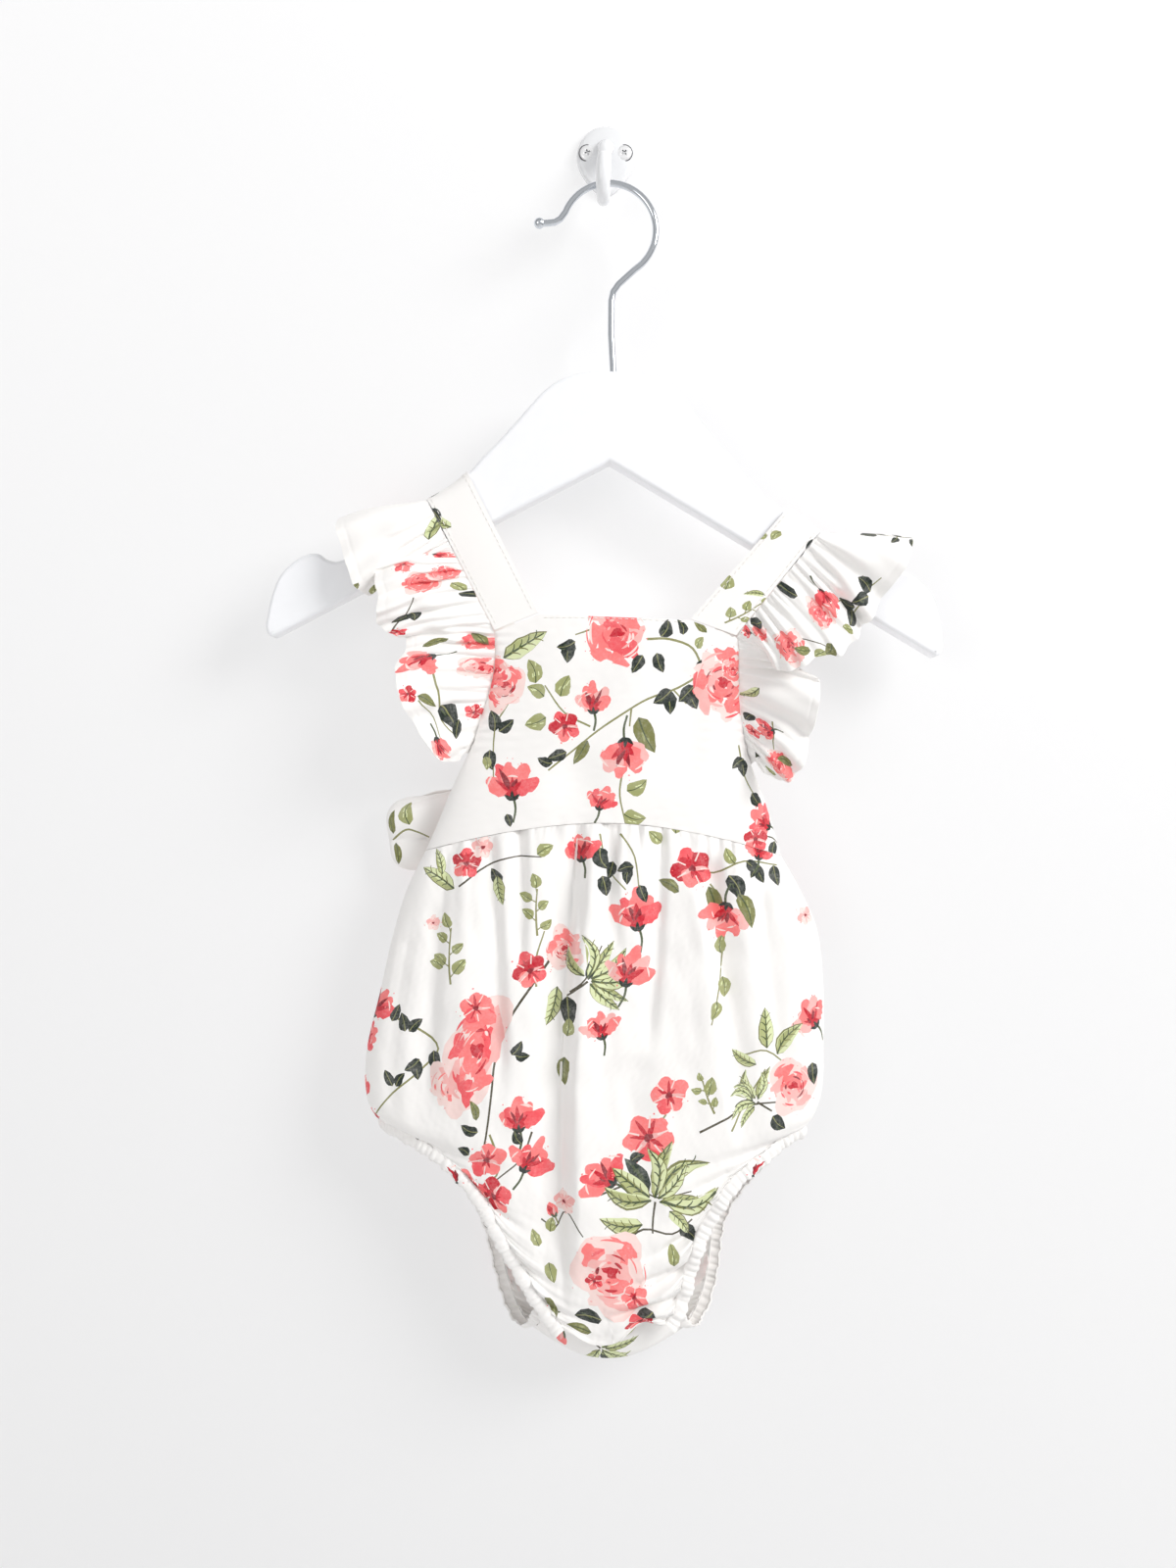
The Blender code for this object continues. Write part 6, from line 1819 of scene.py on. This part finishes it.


# gap is the near-black painted shade of the screws' cross recess and of the ring round their heads.
def build_wall_hook(enamel, steel, gap):
    plate = ring_mesh("hook_plate", plate_rings(), enamel)
    prong = ring_mesh("hook_prong", prong_rings(), enamel)
    for piece in (plate, prong):
        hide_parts("wall_hook")
        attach(piece, "root")
    for side, x, lean in (("left", -SCREW_X, 18.0), ("right", SCREW_X, 40.0)):
        screw = ring_mesh("screw_" + side, turned_rings(x, SCREW_Z, SCREW_HEAD, 32), steel)
        for quarter in (0.0, 90.0):
            cut_arm(screw, x, math.radians(lean + quarter))
        # Painted shade: the faces of the cross recess take the near-black material.
        screw.data.materials.append(gap)
        for face in screw.data.polygons:
            here = face.center / MM
            if math.hypot(here.x - x, here.z - SCREW_Z) < 2.1 and -here.y < 4.3:
                face.material_index = 1
        # Painted shadow: a thin near-black ring round each head where the countersink lies in shade.
        rim = ring_mesh("screw_shadow_ring_" + side, turned_rings(x, SCREW_Z, SCREW_SHADOW_RING, 48), gap, close=False)
        for piece in (screw, rim):
            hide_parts("screw_" + side)
            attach(piece, "root")


# ---------------------------------------------------------------------------
# Stage, light and camera
# ---------------------------------------------------------------------------
STAGE_HALF = 2.4
FLOOR_Z = -1.3


def wall_with_painted_glow():
    """Pale wall with a painted glow: its emission is painted light that lifts its shadows, brighter upwards
    and to the right, with a painted pool of light behind the neck opening. Clear seen from behind.
    """
    material, tree, shader = new_material("wall with painted glow", {
        "Base Color": (0.37, 0.37, 0.375, 1.0), "Roughness": 0.9, "Specular IOR Level": 0.1,
        "Emission Color": (1.0, 1.0, 1.0, 1.0)})
    spot = node(tree, "TexCoord", {}).outputs["Object"]
    slope = node(tree, "VectorMath", {0: spot, 1: (0.075, 0.0, 0.17)}, operation="DOT_PRODUCT")
    away = node(tree, "VectorMath", {0: spot, 1: (0.004, 0.0, -0.215)}, operation="DISTANCE")
    # Painted light: the wall's glow, stronger upwards and to the right.
    base = calc(tree, "ADD", slope.outputs["Value"], 0.605)
    # Painted light: a soft pool of glow on the wall behind the neck opening.
    painted_light_pool = spread(tree, away.outputs["Value"], 0.085, 0.0, 0.0, 0.12, "SMOOTHSTEP")
    feed(tree, shader, {"Emission Strength": calc(tree, "ADD", base, painted_light_pool)})
    facing = node(tree, "NewGeometry", {}).outputs["Backfacing"]
    clear = node(tree, "BsdfTransparent", {}).outputs["BSDF"]
    mix = node(tree, "MixShader", {"Fac": facing, 1: shader.outputs["BSDF"], 2: clear})
    feed(tree, tree.nodes["Material Output"], {"Surface": mix.outputs["Shader"]})
    return material


def stage_sheet(name, corners, material):
    mesh = bpy.data.meshes.new(name)
    mesh.from_pydata(corners, [], [(0, 1, 2, 3)])
    return add_object(name, mesh, material)


def build_stage():
    half, y, low, high = STAGE_HALF, 0.0006, FLOOR_Z, 1.9
    wall = stage_sheet("stage_wall", [(-half, y, low), (half, y, low), (half, y, high), (-half, y, high)],
                       wall_with_painted_glow())
    pale = new_material("pale floor", {"Base Color": (0.86, 0.86, 0.86, 1.0), "Roughness": 0.9})[0]
    floor = stage_sheet("stage_floor", [(-half, -3, low), (half, -3, low), (half, 3, low), (-half, 3, low)],
                        pale)


def area_light(name, spot, size, power, colour):
    """A round lamp at a spot, turned to the garment."""
    light = bpy.data.lights.new(name, "AREA")
    light.shape = "DISK"
    light.size = size
    light.energy = power
    light.color = colour
    thing = add_object(name, light)
    thing.location = spot
    aim = Vector((0.0, 0.0, -0.3)) - Vector(spot)
    thing.rotation_euler = aim.to_track_quat("-Z", "Y").to_euler()


def light_and_camera():
    scene = bpy.context.scene
    scene.view_settings.view_transform = "Standard"
    scene.view_settings.look = "None"
    scene.view_settings.exposure = 0.0
    world = bpy.data.worlds.new("soft room")
    scene.world = world
    world.use_nodes = True
    tree = world.node_tree
    # The room is brighter in front of the wall than at its sides.
    direction = node(tree, "TexCoord", {}).outputs["Generated"]
    ahead = node(tree, "SeparateXYZ", {"Vector": direction}).outputs["Y"]
    strength = spread(tree, ahead, 0.15, -0.85, 0.24, 0.62, "SMOOTHSTEP")
    feed(tree, tree.nodes["Background"], {"Color": (1.0, 1.0, 1.0, 1.0), "Strength": strength})
    area_light("key window", (1.25, -0.95, 0.55), 0.85, 21.0, (1.0, 0.995, 0.985))
    area_light("left fill", (-1.0, -1.4, -0.2), 1.0, 4.6, (1.0, 0.985, 0.97))
    area_light("behind", (-0.9, 1.6, 0.4), 1.2, 9.0, (1.0, 1.0, 1.0))
    camera = bpy.data.cameras.new("camera")
    camera.sensor_fit = "VERTICAL"
    camera.sensor_height = 24.0
    camera.lens = 12.0 / (346.3 / 620.0)
    camera.clip_start = 0.01
    camera.clip_end = 20.0
    thing = add_object("camera", camera)
    thing.location = (-0.0081, -0.644, -0.2865)
    thing.rotation_euler = (math.pi / 2.0, 0.0, 0.0)
    scene.camera = thing


build_cloth()
build_stitches()
build_bar(plain("hanger_paint", srgb(250, 251, 254), 0.38, coat=0.15, grain=0.03, scale=220.0))
build_wire(plain("hanger_wire", (0.66, 0.69, 0.73), 0.12, metallic=1.0, scale=700.0))
build_wall_hook(plain("hook_enamel", srgb(240, 241, 243), 0.22, coat=0.4, scale=160.0),
                plain("screw_steel", (0.93, 0.93, 0.94), 0.34, metallic=0.35, scale=900.0),
                plain("screw_recess_painted_shade", (0.10, 0.10, 0.11), 0.5, metallic=0.3, scale=900.0))
build_stage()
light_and_camera()
